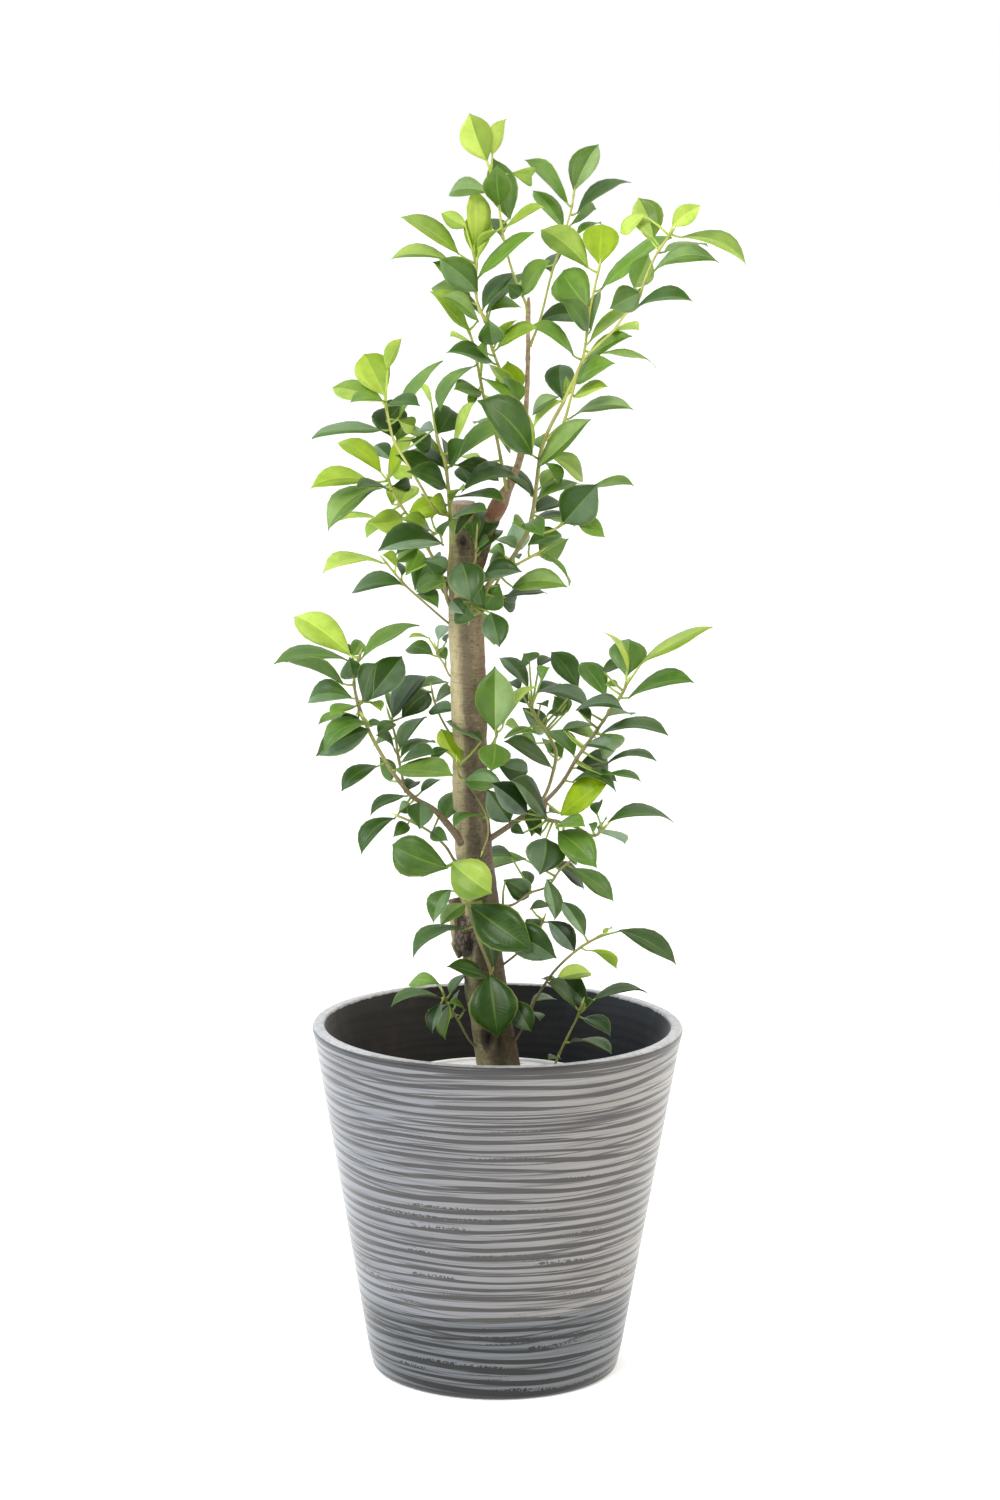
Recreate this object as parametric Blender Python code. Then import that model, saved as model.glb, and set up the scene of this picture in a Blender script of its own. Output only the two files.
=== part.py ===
"""A young Chinese banyan in a white nursery pot, inside a tapered grey cover pot. Metres, up is +Z."""

import math

import bmesh
import bpy
from mathutils import Vector
from mathutils.bvhtree import BVHTree

for leftover in list(bpy.data.objects):
    bpy.data.objects.remove(leftover)

# Cover pot, outer sizes first
POT_HEIGHT = 0.285
POT_RIM_RADIUS = 0.150
POT_BASE_RADIUS = 0.101
POT_WALL = 0.0096
POT_FLOOR = 0.014
POT_LIP_ROUND = 0.003
POT_FOOT_ROUND = 0.005
# White nursery pot that holds the soil
NURSERY_TOP = 0.2345
NURSERY_RIM_RADIUS = 0.090
NURSERY_RIM_DEPTH = 0.016
NURSERY_BASE_RADIUS = 0.066
NURSERY_WALL = 0.0022
DRAIN_RADIUS = 0.006
DRAIN_RING = 0.040
DRAINS = 4
# Soil with its white top dressing
DRESSING_TOP = 0.2325
DRESSING_DEPTH = 0.005
FIT_GAP = 0.0003
# Leaf blades and stalks
BLADE_KEEL = 0.0009
STALK_RADIUS = 0.0007
# Full width over length, edge rise over half width, and how wide a blade is at two places along it
BLADE_RATIO = 0.54
BLADE_FOLD = 0.12
BLADE_STATIONS = ((0.32, 0.93), (0.72, 0.86))
LEAF_CLEARANCE = 0.0006

# The plant is laid out on an upright sheet of 1000 by 1500 units that faces an eye in front of the pot.
# A third number gives each point's distance in front of the trunk's upright plane, in the same units.
UNIT = 0.000805
EYE = Vector((0.0, -3.019, 1.010))
EYE_DOWN = math.radians(9.42)
EYE_REACH = 3820.0
SHEET_TURN = math.radians(0.5)
SHEET_X, SHEET_Y = 500.0, 750.0

POT_GREY = (0.21, 0.20, 0.20, 1)
POT_WHITE = (0.80, 0.80, 0.78, 1)
SOIL_BROWN = (0.06, 0.04, 0.03, 1)
BARK_BROWN = (0.22, 0.17, 0.12, 1)
LEAF_GREEN = (0.07, 0.20, 0.03, 1)


class Twig:
    """One stem with its start and end radius in millimetres, its path, and its leaves.

    A leaf holds its blade's base and tip on the sheet, the width that shows, the height of its arch,
    its full length (negative where the tip points back) and two letters: its colour, and the side in view.
    """

    def __init__(self, start, end, path, leaves):
        self.start, self.end, self.path, self.leaves = start / 1000, end / 1000, path, leaves


def at(x, y, z=0.0):
    """The point in space for a place on the sheet, z units in front of the trunk's plane."""
    across = (x - SHEET_X) * math.cos(SHEET_TURN) + (y - SHEET_Y) * math.sin(SHEET_TURN)
    down = (y - SHEET_Y) * math.cos(SHEET_TURN) - (x - SHEET_X) * math.sin(SHEET_TURN)
    forward = Vector((0, math.cos(EYE_DOWN), -math.sin(EYE_DOWN)))
    upward = Vector((0, math.sin(EYE_DOWN), math.cos(EYE_DOWN)))
    ray = forward + Vector((1, 0, 0)) * (across / EYE_REACH) - upward * (down / EYE_REACH)
    return EYE + ray * ((-z * UNIT - EYE.y) / ray.y)


def loft(rings, tip=None):
    """A closed solid through rings of equal count, as (points, faces), ended by a point if one is given."""
    count = len(rings[0])
    points = [p for ring in rings for p in ring]
    faces = [tuple(range(count))[::-1]]
    for r in range(len(rings) - 1):
        a, b = r * count, (r + 1) * count
        for k in range(count):
            n = (k + 1) % count
            if k % 2:
                faces += [(a + k, a + n, b + k), (a + n, b + n, b + k)]
            else:
                faces += [(a + k, a + n, b + n), (a + k, b + n, b + k)]
    last = (len(rings) - 1) * count
    if tip is None:
        faces.append(tuple(range(last, last + count)))
    else:
        points.append(tip)
        faces += [(last + k, last + (k + 1) % count, len(points) - 1) for k in range(count)]
    return points, faces


def tube(path, radii, sides):
    """A round stem along the path, its rings turned as little as they can be."""
    rings = []
    side = None
    for i, point in enumerate(path):
        along = (path[min(i + 1, len(path) - 1)] - path[max(i - 1, 0)]).normalized()
        if side is None:
            side = along.orthogonal().normalized()
        side = (side - along * side.dot(along)).normalized()
        other = along.cross(side)
        rings.append(
            [
                point + (side * math.cos(turn) + other * math.sin(turn)) * radii[i]
                for turn in (2 * math.pi * k / sides for k in range(sides))
            ]
        )
    return loft(rings)


def solid(name, shape, material=None):
    """An object made from points and faces, its faces turned outward."""
    mesh = bpy.data.meshes.new(name)
    made = bmesh.new()
    corners = [made.verts.new(p) for p in shape[0]]
    for face in shape[1]:
        made.faces.new([corners[i] for i in face])
    if made.calc_volume(signed=True) < 0:
        bmesh.ops.reverse_faces(made, faces=made.faces)
    made.to_mesh(mesh)
    made.free()
    obj = bpy.data.objects.new(name, mesh)
    bpy.context.scene.collection.objects.link(obj)
    if material:
        mesh.materials.append(material)
    return obj


def material(name, colour, roughness, metallic=0.0):
    made = bpy.data.materials.new(name)
    made.use_nodes = True
    shader = made.node_tree.nodes["Principled BSDF"]
    shader.inputs["Base Color"].default_value = colour
    shader.inputs["Roughness"].default_value = roughness
    shader.inputs["Metallic"].default_value = metallic
    return made


def turned(name, profile, steps, finish):
    """A round body from a profile of (radius, height) that starts and ends on the axis."""
    made = bmesh.new()
    line = [made.verts.new((r, 0, z)) for r, z in profile]
    edges = [made.edges.new(pair) for pair in zip(line, line[1:])]
    bmesh.ops.spin(made, geom=line + edges, cent=(0, 0, 0), axis=(0, 0, 1), angle=2 * math.pi,
                   steps=steps, use_merge=True)
    bmesh.ops.remove_doubles(made, verts=made.verts, dist=1e-6)
    bmesh.ops.recalc_face_normals(made, faces=made.faces)
    for face in made.faces:
        face.smooth = True
    mesh = bpy.data.meshes.new(name)
    made.to_mesh(mesh)
    made.free()
    mesh.materials.append(finish)
    obj = bpy.data.objects.new(name, mesh)
    bpy.context.scene.collection.objects.link(obj)
    return obj


def settle(obj):
    """Keeps what the object's modifiers make as its own mesh."""
    bpy.context.view_layer.update()
    graph = bpy.context.evaluated_depsgraph_get()
    mesh = bpy.data.meshes.new_from_object(obj.evaluated_get(graph))
    obj.modifiers.clear()
    obj.data = mesh


def join(obj, others, solver="MANIFOLD"):
    """One Boolean union of the object with all the others, which are then removed."""
    group = bpy.data.collections.new(obj.name + "_pieces")
    for other in others:
        group.objects.link(other)
    union = obj.modifiers.new("join", "BOOLEAN")
    union.operation, union.operand_type, union.solver = "UNION", "COLLECTION", solver
    union.collection = group
    settle(obj)
    for other in others:
        bpy.data.objects.remove(other)
    bpy.data.collections.remove(group)


def cut(obj, cutter, solver="MANIFOLD"):
    """Takes the cutter's shape out of the object."""
    hollow = obj.modifiers.new("cut", "BOOLEAN")
    hollow.operation, hollow.object, hollow.solver = "DIFFERENCE", cutter, solver
    settle(obj)


def thin_out(obj, share):
    """Merges the shortest edges of a mesh until this share of its triangles is left."""
    fewer = obj.modifiers.new("thin_out", "DECIMATE")
    fewer.ratio = share
    settle(obj)


def drop_scraps(obj):
    """Leaves only the largest connected piece, so that crumbs and sealed hollows from a union go."""
    made = bmesh.new()
    made.from_mesh(obj.data)
    left, pieces = set(made.faces), []
    while left:
        edge = {left.pop()}
        piece = set(edge)
        while edge:
            edge = {near for face in edge for side in face.edges for near in side.link_faces} - piece
            piece |= edge
        left -= piece
        pieces.append(piece)
    pieces.sort(key=len)
    for piece in pieces[:-1]:
        bmesh.ops.delete(made, geom=list(piece), context="FACES")
    made.to_mesh(obj.data)
    made.free()


def as_cutter(obj):
    obj.hide_render = True
    obj.display_type = "WIRE"
    return obj


# The twigs of every spray, by node
SPRAYS = {
    "top_spray": [
        Twig(1.6, 1.0,
             [(528, 312, -8), (526, 304, -8), (512, 270, -2),
              (502, 230, 6), (499, 206, 12), (490, 170, 14)],
             [
                 (487, 161, 470, 114, 33, 3, 52, "Lu"), (492, 155, 504, 119, 16, 3, -46, "Ld"),
                 (510, 219.5, 494, 158, 30, 7.5, -64, "Bd"), (499.5, 205.5, 497, 168, 28.5, 2, 56, "Gu"),
                 (489, 192.5, 447.5, 193.5, 20, 9.5, -50, "Mu"),
                 (501.5, 236.5, 487.5, 216, 17, 3, -52, "Cu"), (503, 228, 541, 204, 9, 3, -50, "Ld"),
                 (498, 230, 476, 247, 9, 4, -46, "Ld"), (511, 173, 533, 177.5, 19, 9, -48, "Vu"),
             ]),
        Twig(1.0, 0.8,
             [(522, 296, -6), (517, 284, 0), (514, 276, 4)],
             [
                 (522, 297, 548, 260, 19, 6, 60, "Mu"), (520, 296, 508, 284, 16, 3, 44, "Cu"),
             ]),
    ],
    "leader_spray": [
        Twig(1.4, 0.9,
             [(530, 346, -10), (540, 320, -33), (551, 276, -65),
              (561, 245, -88), (571, 211, -103), (574, 193, -107)],
             [
                 (567, 203, 529, 157, 16, 5, -62, "Pd"), (565, 228, 534, 189, 18, 5, -56, "Pu"),
                 (574, 191, 598, 143, 27, 4, -58, "Mu"), (577, 213, 629, 178, 14, 7, -66, "Cu"),
                 (571, 224.5, 594, 207.5, 9, 2, -52, "Gd"), (577, 234, 601, 221, 8, 3, -52, "Pu"),
                 (551, 272, 557, 250, 16, 3, -56, "Cu"), (548, 266, 516, 286, 18, 6, -58, "Vu"),
                 (539, 321, 588, 318, 20, 10, -58, "Cu"),
             ]),
    ],
    "inner_left_spray": [
        Twig(1.8, 1.1,
             [(523, 441, -9), (517, 414, -3), (511, 396, 0),
              (502, 374, 4), (494, 354, 8), (489, 338, 10), (486, 322, 10)],
             [
                 (492, 345, 489, 322, 26, 4, 52, "Bu"), (491, 348, 516, 318, 10, 3, 48, "Ld"),
                 (493, 350, 536, 326, 13, 5, 56, "Vu"), (493, 363, 449, 349, 17, 6, 58, "Bu"),
                 (488, 354, 479, 347, 10, 2, 40, "Pu"), (486, 312, 522, 306, 14, 8, -60, "Pu"),
                 (489.5, 309.5, 531, 268.5, 10.5, 3, -72, "Bu"), (512, 396, 508, 362, 30, 4, 58, "Yu"),
                 (512, 398, 490, 362, 15, 4, 56, "Ld"), (517, 403, 508, 374, 18, 3, 50, "Pd"),
             ]),
        Twig(1.5, 1.0,
             [(486, 323, 10), (477, 301, 8), (476, 276, 10), (477, 262, 12)],
             [
                 (477.5, 259, 479.5, 207, 28.5, 3, -58, "Yu"), (474, 245, 475.5, 188, 24, 8, -60, "Lu"),
                 (467, 227, 441.5, 213, 17, 3, -50, "Ld"), (459, 254, 403, 214, 20, 7, -66, "Vu"),
                 (451, 262, 390, 257, 13, 9, 62, "Vu"), (477.7, 291.5, 440, 259, 31, 7, 54, "Gu"),
                 (473, 290, 434.4, 260, 17.9, 3, 52, "Mu"), (478, 277, 532, 230, 14, 4, -72, "Pu"),
                 (473, 303, 431, 284, 22, 5, -56, "Mu"), (478, 311, 440, 292, 12, 5, -58, "Cu"),
                 (480.5, 309.5, 514, 271, 17, 5, -56, "Cu"),
             ]),
    ],
    "left_crown_spray": [
        Twig(1.8, 1.2,
             [(507, 492, -5), (503, 471, 4), (495, 431, 8),
              (484, 398, 14), (479, 372, 20), (473, 344, 27), (468, 328, 31)],
             [
                 (468, 330, 432, 290, 18, 4, 62, "Vu"), (479, 322, 446, 295, 15, 4, 58, "Pu"),
                 (473, 344, 451, 334, 3, 2, -40, "Ld"), (476, 366, 437, 408, 13, 8, 62, "Pu"),
                 (480.5, 391, 455.5, 387.5, 15, 1, 52, "Gu"), (478, 390, 470, 407, 10, 5, 40, "Pu"),
                 (483, 395, 534, 454, 38, 8, 86, "Lu"), (482, 378, 512, 400, 9, 4, 46, "Pu"),
                 (481, 372, 486, 341, 3, 2, -44, "Ld"), (496, 434, 512, 450, 13, 4, -44, "Bu"),
                 (490, 426, 474, 421, 9, 3, -44, "Pu"), (481, 462, 459, 456, 8, 4, -48, "Lu"),
             ]),
    ],
    "right_crown_limb": [
        Twig(3.0, 1.6,
             [(478, 600, 0), (492, 580, 8), (505, 568, 10), (518, 549, 10), (529, 528, 8),
              (534, 505, 6), (537, 480, 6), (541, 452, 6), (549, 429, 4), (563, 403, 0)],
             [
                 (532, 455, 484, 400, 40, 8, 88, "Cu"), (537, 468, 588, 417, 20, 3, 72, "Pu"),
                 (540, 448, 541, 434, 13, 3, -46, "Pu"), (546, 438, 574, 426, 7, 3, -50, "Yd"),
                 (548, 454, 585, 480, 19, 8, -56, "Vu"), (546, 463, 561, 484, 13, 5, -48, "Pu"),
                 (541, 487, 561, 468, 15, 4, -50, "Vu"), (538, 499, 579, 481, 13, 5, -58, "Pu"),
                 (536, 512, 563, 500, 19, 4, -54, "Du"), (548, 518, 575, 524, 8, 3, -50, "Pd"),
                 (534, 496, 461.5, 489.5, 14, 23, 84, "Cu"), (534, 497, 494, 463, 14, 5, -60, "Du"),
                 (531, 519, 578, 515, 8, 4, -58, "Cu"), (530, 522, 543, 534, 22, 6, 50, "Bu"),
                 (528, 528, 515, 521, 10, 3, 44, "Pu"),
             ]),
        Twig(1.5, 1.0,
             [(563, 403, 0), (573, 381, -8), (583, 357, -20),
              (588, 325, -35), (592, 300, -43), (600, 264, -50)],
             [
                 (599.7, 264.5, 603, 221.5, 37, 3, -56, "Yu"), (601, 289, 668, 233, 17, 6, 74, "Pu"),
                 (589, 307.5, 561, 268, 41, 6, -62, "Pu"), (588, 268, 541, 227, 29, 5, -68, "Vu"),
                 (589, 330, 565, 299, 19, 6, 54, "Bu"), (591, 330, 600, 288, 16, 5, -56, "Mu"),
                 (589.5, 341.5, 635, 302, 12, 4, 62, "Vd"), (574, 356, 531, 324, 15, 8, 64, "Pu"),
                 (585, 359, 630, 334, 15, 5, 60, "Pu"), (600, 353, 657, 362, 7, 6, 62, "Vd"),
                 (563, 400, 560, 362, 30, 5, -58, "Cu"), (571, 383, 612, 361, 20, 7, 60, "Pu"),
                 (565, 399, 567, 376, 9, 3, -40, "Vu"), (558, 397, 530, 414, 14, 5, -52, "Mu"),
                 (561, 401, 532, 427, 9, 4, -56, "Lu"), (573, 397, 607, 385, 13, 4, 54, "Lu"),
             ]),
        Twig(1.5, 1.0,
             [(546, 440, 5), (561, 428, 6), (572, 394, 10), (582, 362, 13), (598, 345, 16),
              (613, 331, 24), (625, 315, 31), (637, 303, 39), (645, 280, 46), (656, 255, 54),
              (672, 232, 62)],
             [
                 (653.5, 239, 638.3, 197, 31, -3, -54, "Vu"), (672, 226, 699, 206, 20, 4, 44, "Lu"),
                 (645, 214, 619, 232.5, 15, 2, -46, "Lu"), (652, 242, 640, 212, 18, 3, -44, "Ld"),
                 (682, 237, 748, 262, 17, 11, 72, "Vu"), (649, 274, 718, 260, 16, 14, 74, "Pu"),
                 (664, 252, 708, 243, 8, 5, -56, "Pu"), (634, 288, 648, 256, 26, 3, -54, "Pd"),
                 (640, 293, 612, 307.5, 28, 1.5, 50, "Gu"), (637, 305, 637, 288, 14, 3, -40, "Gu"),
                 (636, 308, 692, 299, 14, 9, 62, "Bu"), (612, 331, 638, 327, 8, 3, -54, "Ld"),
                 (570, 418, 632, 407, 12, 9, 68, "Mu"),
             ]),
        Twig(1.6, 1.0,
             [(529, 528, 8), (541, 533, 9), (553, 530, 11), (563, 524, 12)],
             [
                 (563, 523, 596, 486, 42, 6, 64, "Cu"), (590, 489, 633, 482, 10, 5, -56, "Pd"),
                 (576, 517, 605, 537, 18, 8, 52, "Pu"),
             ]),
    ],
    "upper_left_limb": [
        Twig(2.2, 1.3,
             [(457, 606, 10), (449, 580, 10), (451, 545, 16), (450, 515, 24),
              (448, 485, 31), (445, 462, 35), (439, 445, 39), (437, 437, 43)],
             [
                 (432, 404, 421, 384, 6, 2, -40, "Ld"), (437, 434, 452, 406, 30, 4, -56, "Cu"),
                 (442, 454, 381, 423, 9, 8, 74, "Vu"), (452.6, 450, 472, 401.5, 9, 3, 62, "Lu"),
                 (452, 466, 517.6, 423.5, 18, 11, 80, "Pu"), (445, 468.3, 408, 448, 17, 6, -58, "Du"),
                 (446.5, 484.5, 397, 454, 21, 5, 66, "Bu"), (445.5, 487, 411, 470, 22, 7, 56, "Cu"),
                 (447, 462, 443, 437, 12, 3, -50, "Cu"), (450, 466, 462, 440, 14, 4, 52, "Cu"),
                 (460, 496, 503, 499, 9, 4, 58, "Cu"), (452, 500, 463, 486, 6, 3, 40, "Vd"),
                 (448, 505, 409, 512, 22, 6, 54, "Yu"), (447, 512, 432, 500, 14, 3, 44, "Yu"),
                 (451, 517, 487, 509, 9, 3, 58, "Bu"), (454, 533, 474, 508, 12, 4, 50, "Cu"),
                 (449, 520, 441, 534, 8, 2, 40, "Cu"), (452, 540, 456, 520, 7, 3, 36, "Vu"),
                 (471, 486, 458, 466, 18, 4, -50, "Cu"), (457, 465, 500, 480, 20, 6, -56, "Cu"),
             ]),
        Twig(1.6, 1.0,
             [(449, 515, 24), (437, 512, 35), (420, 485, 54),
              (405, 460, 69), (394, 441, 81), (389, 422, 88), (385, 400, 96)],
             [
                 (385.6, 396, 364, 352.5, 35, 4, -58, "Yu"), (387, 370, 401, 338, 14, 3, -48, "Ld"),
                 (383, 401, 332, 386, 22, 5, -60, "Vu"), (386, 402, 351, 400, 9, 6, 52, "Pu"),
                 (398, 418.5, 441, 359, 11, 5, -78, "Pu"), (390, 402, 418, 402, 14, 4, 54, "Cu"),
                 (386, 420, 401, 402, 26, 3, -48, "Du"), (392, 437, 388, 403.5, 34, 2, -50, "Du"),
                 (398, 420, 416, 426, 18, 4, -48, "Vu"), (383, 430, 312, 433, 13, 6, 74, "Bu"),
                 (397, 440, 402, 421, 26, 5, -50, "Pu"), (411, 440, 432, 446, 20, 4, -52, "Cu"),
                 (434, 430, 419, 429, 12, 3, -44, "Lu"),
             ]),
        Twig(1.6, 1.0,
             [(449, 523, 20), (430, 535, 14), (412, 520, 4),
              (402, 507, -8), (393, 492, -24), (388, 478, -43)],
             [
                 (381, 472, 338, 439, 21, 8, -62, "Yu"), (388, 480, 409.5, 436, 14.5, 3, 58, "Yu"),
                 (412, 478, 393, 464, 17, -3, -50, "Lu"), (371, 482, 311, 485, 20, 9, 68, "Yu"),
                 (389, 490, 357, 486, 8, 5, 50, "Cu"), (380, 488, 327, 530, 24, 14, 76, "Mu"),
                 (392, 505, 396, 485, 16, 4, -44, "Lu"), (393, 486, 411, 482, 14, 4, -48, "Du"),
                 (400, 505, 412, 484, 24, 5, -52, "Lu"), (392, 460, 374, 443, 18, 4, -52, "Cu"),
                 (403, 518, 371, 523, 26, 6, 56, "Lu"), (378, 518, 336, 520, 7, 4, -54, "Ld"),
                 (394, 520, 366, 535, 12, 6, 50, "Vu"), (430, 529, 404, 518, 14, 5, 48, "Vu"),
                 (444, 545, 379, 548, 24, 14, 78, "Cu"), (432, 520, 422, 492, 10, 3, -48, "Yu"),
             ]),
    ],
    "left_arm_spray": [
        Twig(2.4, 1.3,
             [(455, 616, -4), (447, 598, 8), (443, 580, 20),
              (440, 570, 27), (432, 556, 35), (426, 545, 39)],
             [
                 (430, 540, 396, 552, 12, 5, 46, "Bu"), (418, 548, 396, 562, 16, 6, 44, "Pu"),
                 (406, 575, 420, 548, 20, 5, -48, "Pu"), (415, 590, 430, 556, 22, 5, -54, "Bu"),
                 (447, 570, 425, 561, 20, 6, 44, "Cu"), (416, 592, 446, 580, 18, 6, 52, "Gu"),
                 (434, 577, 450, 592, 14, 4, -46, "Bu"), (417, 594, 438, 607, 14, 6, 50, "Bu"),
                 (441, 556, 432, 557, 4, 2, -36, "Bu"),
             ]),
    ],
    "left_wisp": [
        Twig(1.2, 0.9,
             [(457, 629, 0), (447, 622, 2), (425, 603, 12),
              (405, 585, 27), (392, 570, 39), (384, 560, 46)],
             [
                 (385, 560, 323, 568, 11, 8, 70, "Lu"), (402, 584, 351, 590, 18, 9, -66, "Cu"),
                 (397, 565, 384, 554, 10, 4, 40, "Lu"), (402, 576, 396, 560, 8, 3, -40, "Du"),
             ]),
    ],
    "middle_front_spray": [
        Twig(1.3, 0.9,
             [(467, 572, 6), (475, 562, 16), (476, 545, 24), (477, 530, 31)],
             [
                 (476, 542, 486, 508, 30, 6, -60, "Cu"), (474, 540, 470, 512, 18, 4, -50, "Bu"),
                 (480, 552, 502, 528, 18, 5, -52, "Bu"), (478, 548, 488, 540, 8, 3, 40, "Cu"),
             ]),
    ],
    "middle_spray": [
        Twig(1.4, 1.0,
             [(474, 587, 8), (478, 588, 22), (474, 602, 31), (470, 618, 39)],
             [
                 (462, 562, 471, 601, 37, 10, 62, "Cu"), (499, 584, 485, 611, 30, 4, -44, "Bu"),
                 (484, 612, 476, 577, 16, 3, -58, "Bu"), (455, 610, 474, 618, 22, 5, 46, "Du"),
                 (452, 600, 463, 613, 16, 4, 44, "Cu"), (484, 575, 520, 570, 20, 8, 56, "Du"),
                 (479, 583, 497, 578, 12, 4, -46, "Cu"), (497, 598, 517, 602, 20, 5, -50, "Du"),
                 (505, 598, 547, 590, 10, 4, -58, "Eu"), (490.5, 612, 499, 645, 27, 3, 60, "Cu"),
                 (482, 612, 498, 645, 14, 3, 54, "Pd"),
             ]),
    ],
    "right_middle_spray": [
        Twig(1.6, 1.1,
             [(474, 611, 8), (480, 604, 16), (495, 577, 24),
              (516, 565, 27), (538, 553, 27), (541, 551, 27)],
             [
                 (540, 556, 566, 540, 26, 6, -56, "Pd"), (528, 545, 562, 533, 18, 6, -56, "Bu"),
                 (512, 588, 566, 584, 22, 12, 66, "Mu"), (541, 552, 571, 584, 3, 6, 54, "Pd"),
                 (508, 560, 488, 566, 16, 4, -50, "Mu"), (513, 556, 519, 558, 6, 2, 36, "Cu"),
             ]),
    ],
    "back_middle_spray": [
        Twig(1.4, 1.0,
             [(476, 606, -6), (492, 590, -14), (504, 570, -35), (516, 552, -54), (520, 545, -58)],
             [
                 (518, 548, 498, 538, 12, 4, -48, "Bu"), (521, 549.8, 513, 525, 25, 3, -50, "Ld"),
                 (505, 556, 490, 548, 14, 4, -44, "Pu"),
             ]),
    ],
    "lower_left_limb": [
        Twig(4.2, 2.0,
             [(462, 842, 10), (444, 820, 20), (432, 808, 31),
              (413, 797, 39), (394, 774, 46), (375, 743, 50), (363, 718, 50)],
             [
                 (395, 770, 452, 773, 22, 4, 72, "Mu"), (378, 766, 341, 789, 16, 9, 54, "Du"),
                 (391, 782, 381, 758, 16, 4, -44, "Bd"), (409, 796, 369.5, 811.5, 11, 5, 48, "Du"),
                 (404, 792, 416, 780, 14, 4, -40, "Du"), (421, 792, 440, 778, 9, 4, -46, "Bu"),
                 (410, 804, 399, 812, 14, 4, 36, "Bu"), (421, 802, 420, 827, 27, 5, 50, "Cu"),
                 (443, 823, 466, 789, 24, 4, -62, "Bu"), (395, 818, 360, 852, 18, 11, 62, "Du"),
                 (408, 824, 394, 836, 14, 6, 40, "Cu"), (432, 830, 447, 840, 16, 5, 44, "Cu"),
             ]),
        Twig(1.8, 1.2,
             [(366, 724, 50), (361, 713, 46), (357, 700, 35),
              (354, 682, 20), (356, 668, 8), (360, 655, 0)],
             [
                 (350, 655, 294, 613, 32, 7, -76, "Lu"), (351, 656, 362, 640, 16, 3, -42, "Pu"),
                 (352, 656, 336, 646, 12, 3, -40, "Cu"), (362, 657, 418, 622, 15, 6, -72, "Pu"),
                 (348, 660, 274, 661, 14, 9, 80, "Bu"), (343, 684, 286, 660, 13, 6, 70, "Bd"),
                 (352, 698, 306, 698, 24, 9, -58, "Bu"), (355, 678, 350, 658, 24, 5, 44, "Cu"),
                 (366, 701, 402, 655, 33, 5, -70, "Du"), (362, 701, 373, 664, 20, 3, 66, "Du"),
                 (356, 706, 330, 714, 10, 5, 48, "Pu"), (357, 716, 318, 722, 9, 5, -50, "Pd"),
                 (359, 718, 338, 734, 22, 9, 50, "Du"), (372, 726, 323, 748, 18, 14, 66, "Bu"),
                 (370, 730, 316, 755, 30, 13, 66, "Cu"), (366, 726, 382, 722, 8, 3, -44, "Bu"),
                 (371, 702, 381, 710, 9, 4, 40, "Vu"),
             ]),
        Twig(1.4, 1.0,
             [(404, 786, 39), (398, 755, 12), (395, 735, -2), (391, 722, -10), (388, 712, -16)],
             [
                 (392, 718, 424, 672, 24, 7, -68, "Eu"), (402, 718, 431, 691, 27, 4, -64, "Du"),
                 (393, 718, 390, 690, 16, 4, -54, "Bu"), (400, 748, 424, 713, 16, 5, -66, "Bu"),
                 (401, 756, 436, 740, 9, 5, -54, "Bu"), (393, 722, 378, 734, 14, 5, 44, "Bu"),
                 (395, 750, 378, 734, 8, 5, 44, "Du"), (398, 762, 434, 752, 14, 6, 54, "Cu"),
                 (386, 740, 374, 744, 8, 3, -40, "Bu"),
             ]),
    ],
    "left_low_spray": [
        Twig(1.6, 1.1,
             [(466, 867, 8), (455, 861, 24), (446, 847, 35),
              (430, 832, 46), (412, 822, 62), (398, 816, 69)],
             [
                 (448, 868, 391, 844, 42, 8, -74, "Gu"), (446, 866, 420, 876, 12, 5, -44, "Du"),
             ]),
    ],
    "right_thin_spray": [
        Twig(1.2, 0.9,
             [(477, 757, 8), (488, 749, 16), (497, 735, 20), (496, 728, 22)],
             [
                 (495, 731, 495, 667.5, 40, 5, 62, "Pu"), (502, 728, 534, 684.5, 11, 7, 58, "Lu"),
                 (495, 743.5, 491.5, 770, 33, 4, 50, "Gu"), (497, 763, 530, 772, 25, 4, -50, "Du"),
             ]),
    ],
    "front_middle_spray": [
        Twig(1.3, 1.0,
             [(476, 795, 14), (466, 782, 27), (458, 774, 39), (457, 762, 43)],
             [
                 (461, 761, 441.5, 726.5, 21, -2, -58, "Yu"), (483, 742, 445.5, 719, 16, 4, -60, "Cu"),
                 (448, 750, 430, 755, 12, 4, -44, "Du"), (464, 781, 501, 783, 22, 7, 52, "Bu"),
                 (468, 780, 475, 762, 16, 4, -40, "Du"),
             ]),
        Twig(1.0, 0.8,
             [(471, 788, 20), (480, 803, 33), (487, 818, 37), (488, 835, 35), (483, 850, 33)],
             [
                 (485, 816, 453, 825, 7, 7, 50, "Bu"),
             ]),
    ],
    "right_back_limb": [
        Twig(2.2, 1.4,
             [(484, 843, -6), (498, 833, -9), (520, 820, -12), (534, 808, -27), (545, 795, -43),
              (552, 776, -54), (556, 752, -62), (548, 735, -69), (533, 712, -77), (530, 700, -81)],
             [
                 (528, 688, 500, 655, 17, 6, -58, "Cu"), (520, 690, 510, 680, 12, 3, -44, "Du"),
                 (530, 662, 524, 654, 26, 4, -40, "Bd"), (538, 668, 552, 657, 12, 5, -50, "Du"),
                 (541, 680, 548, 668, 12, 5, 44, "Pu"), (536, 694, 560, 684, 9, 6, -50, "Du"),
                 (536, 692, 589, 703, 14, 9, 66, "Du"), (578, 688, 551, 651, 26, 5, -60, "Cu"),
                 (568, 712, 555, 697, 24, 4, -44, "Gd"), (568, 704, 552, 692, 8, 3, -44, "Du"),
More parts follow.
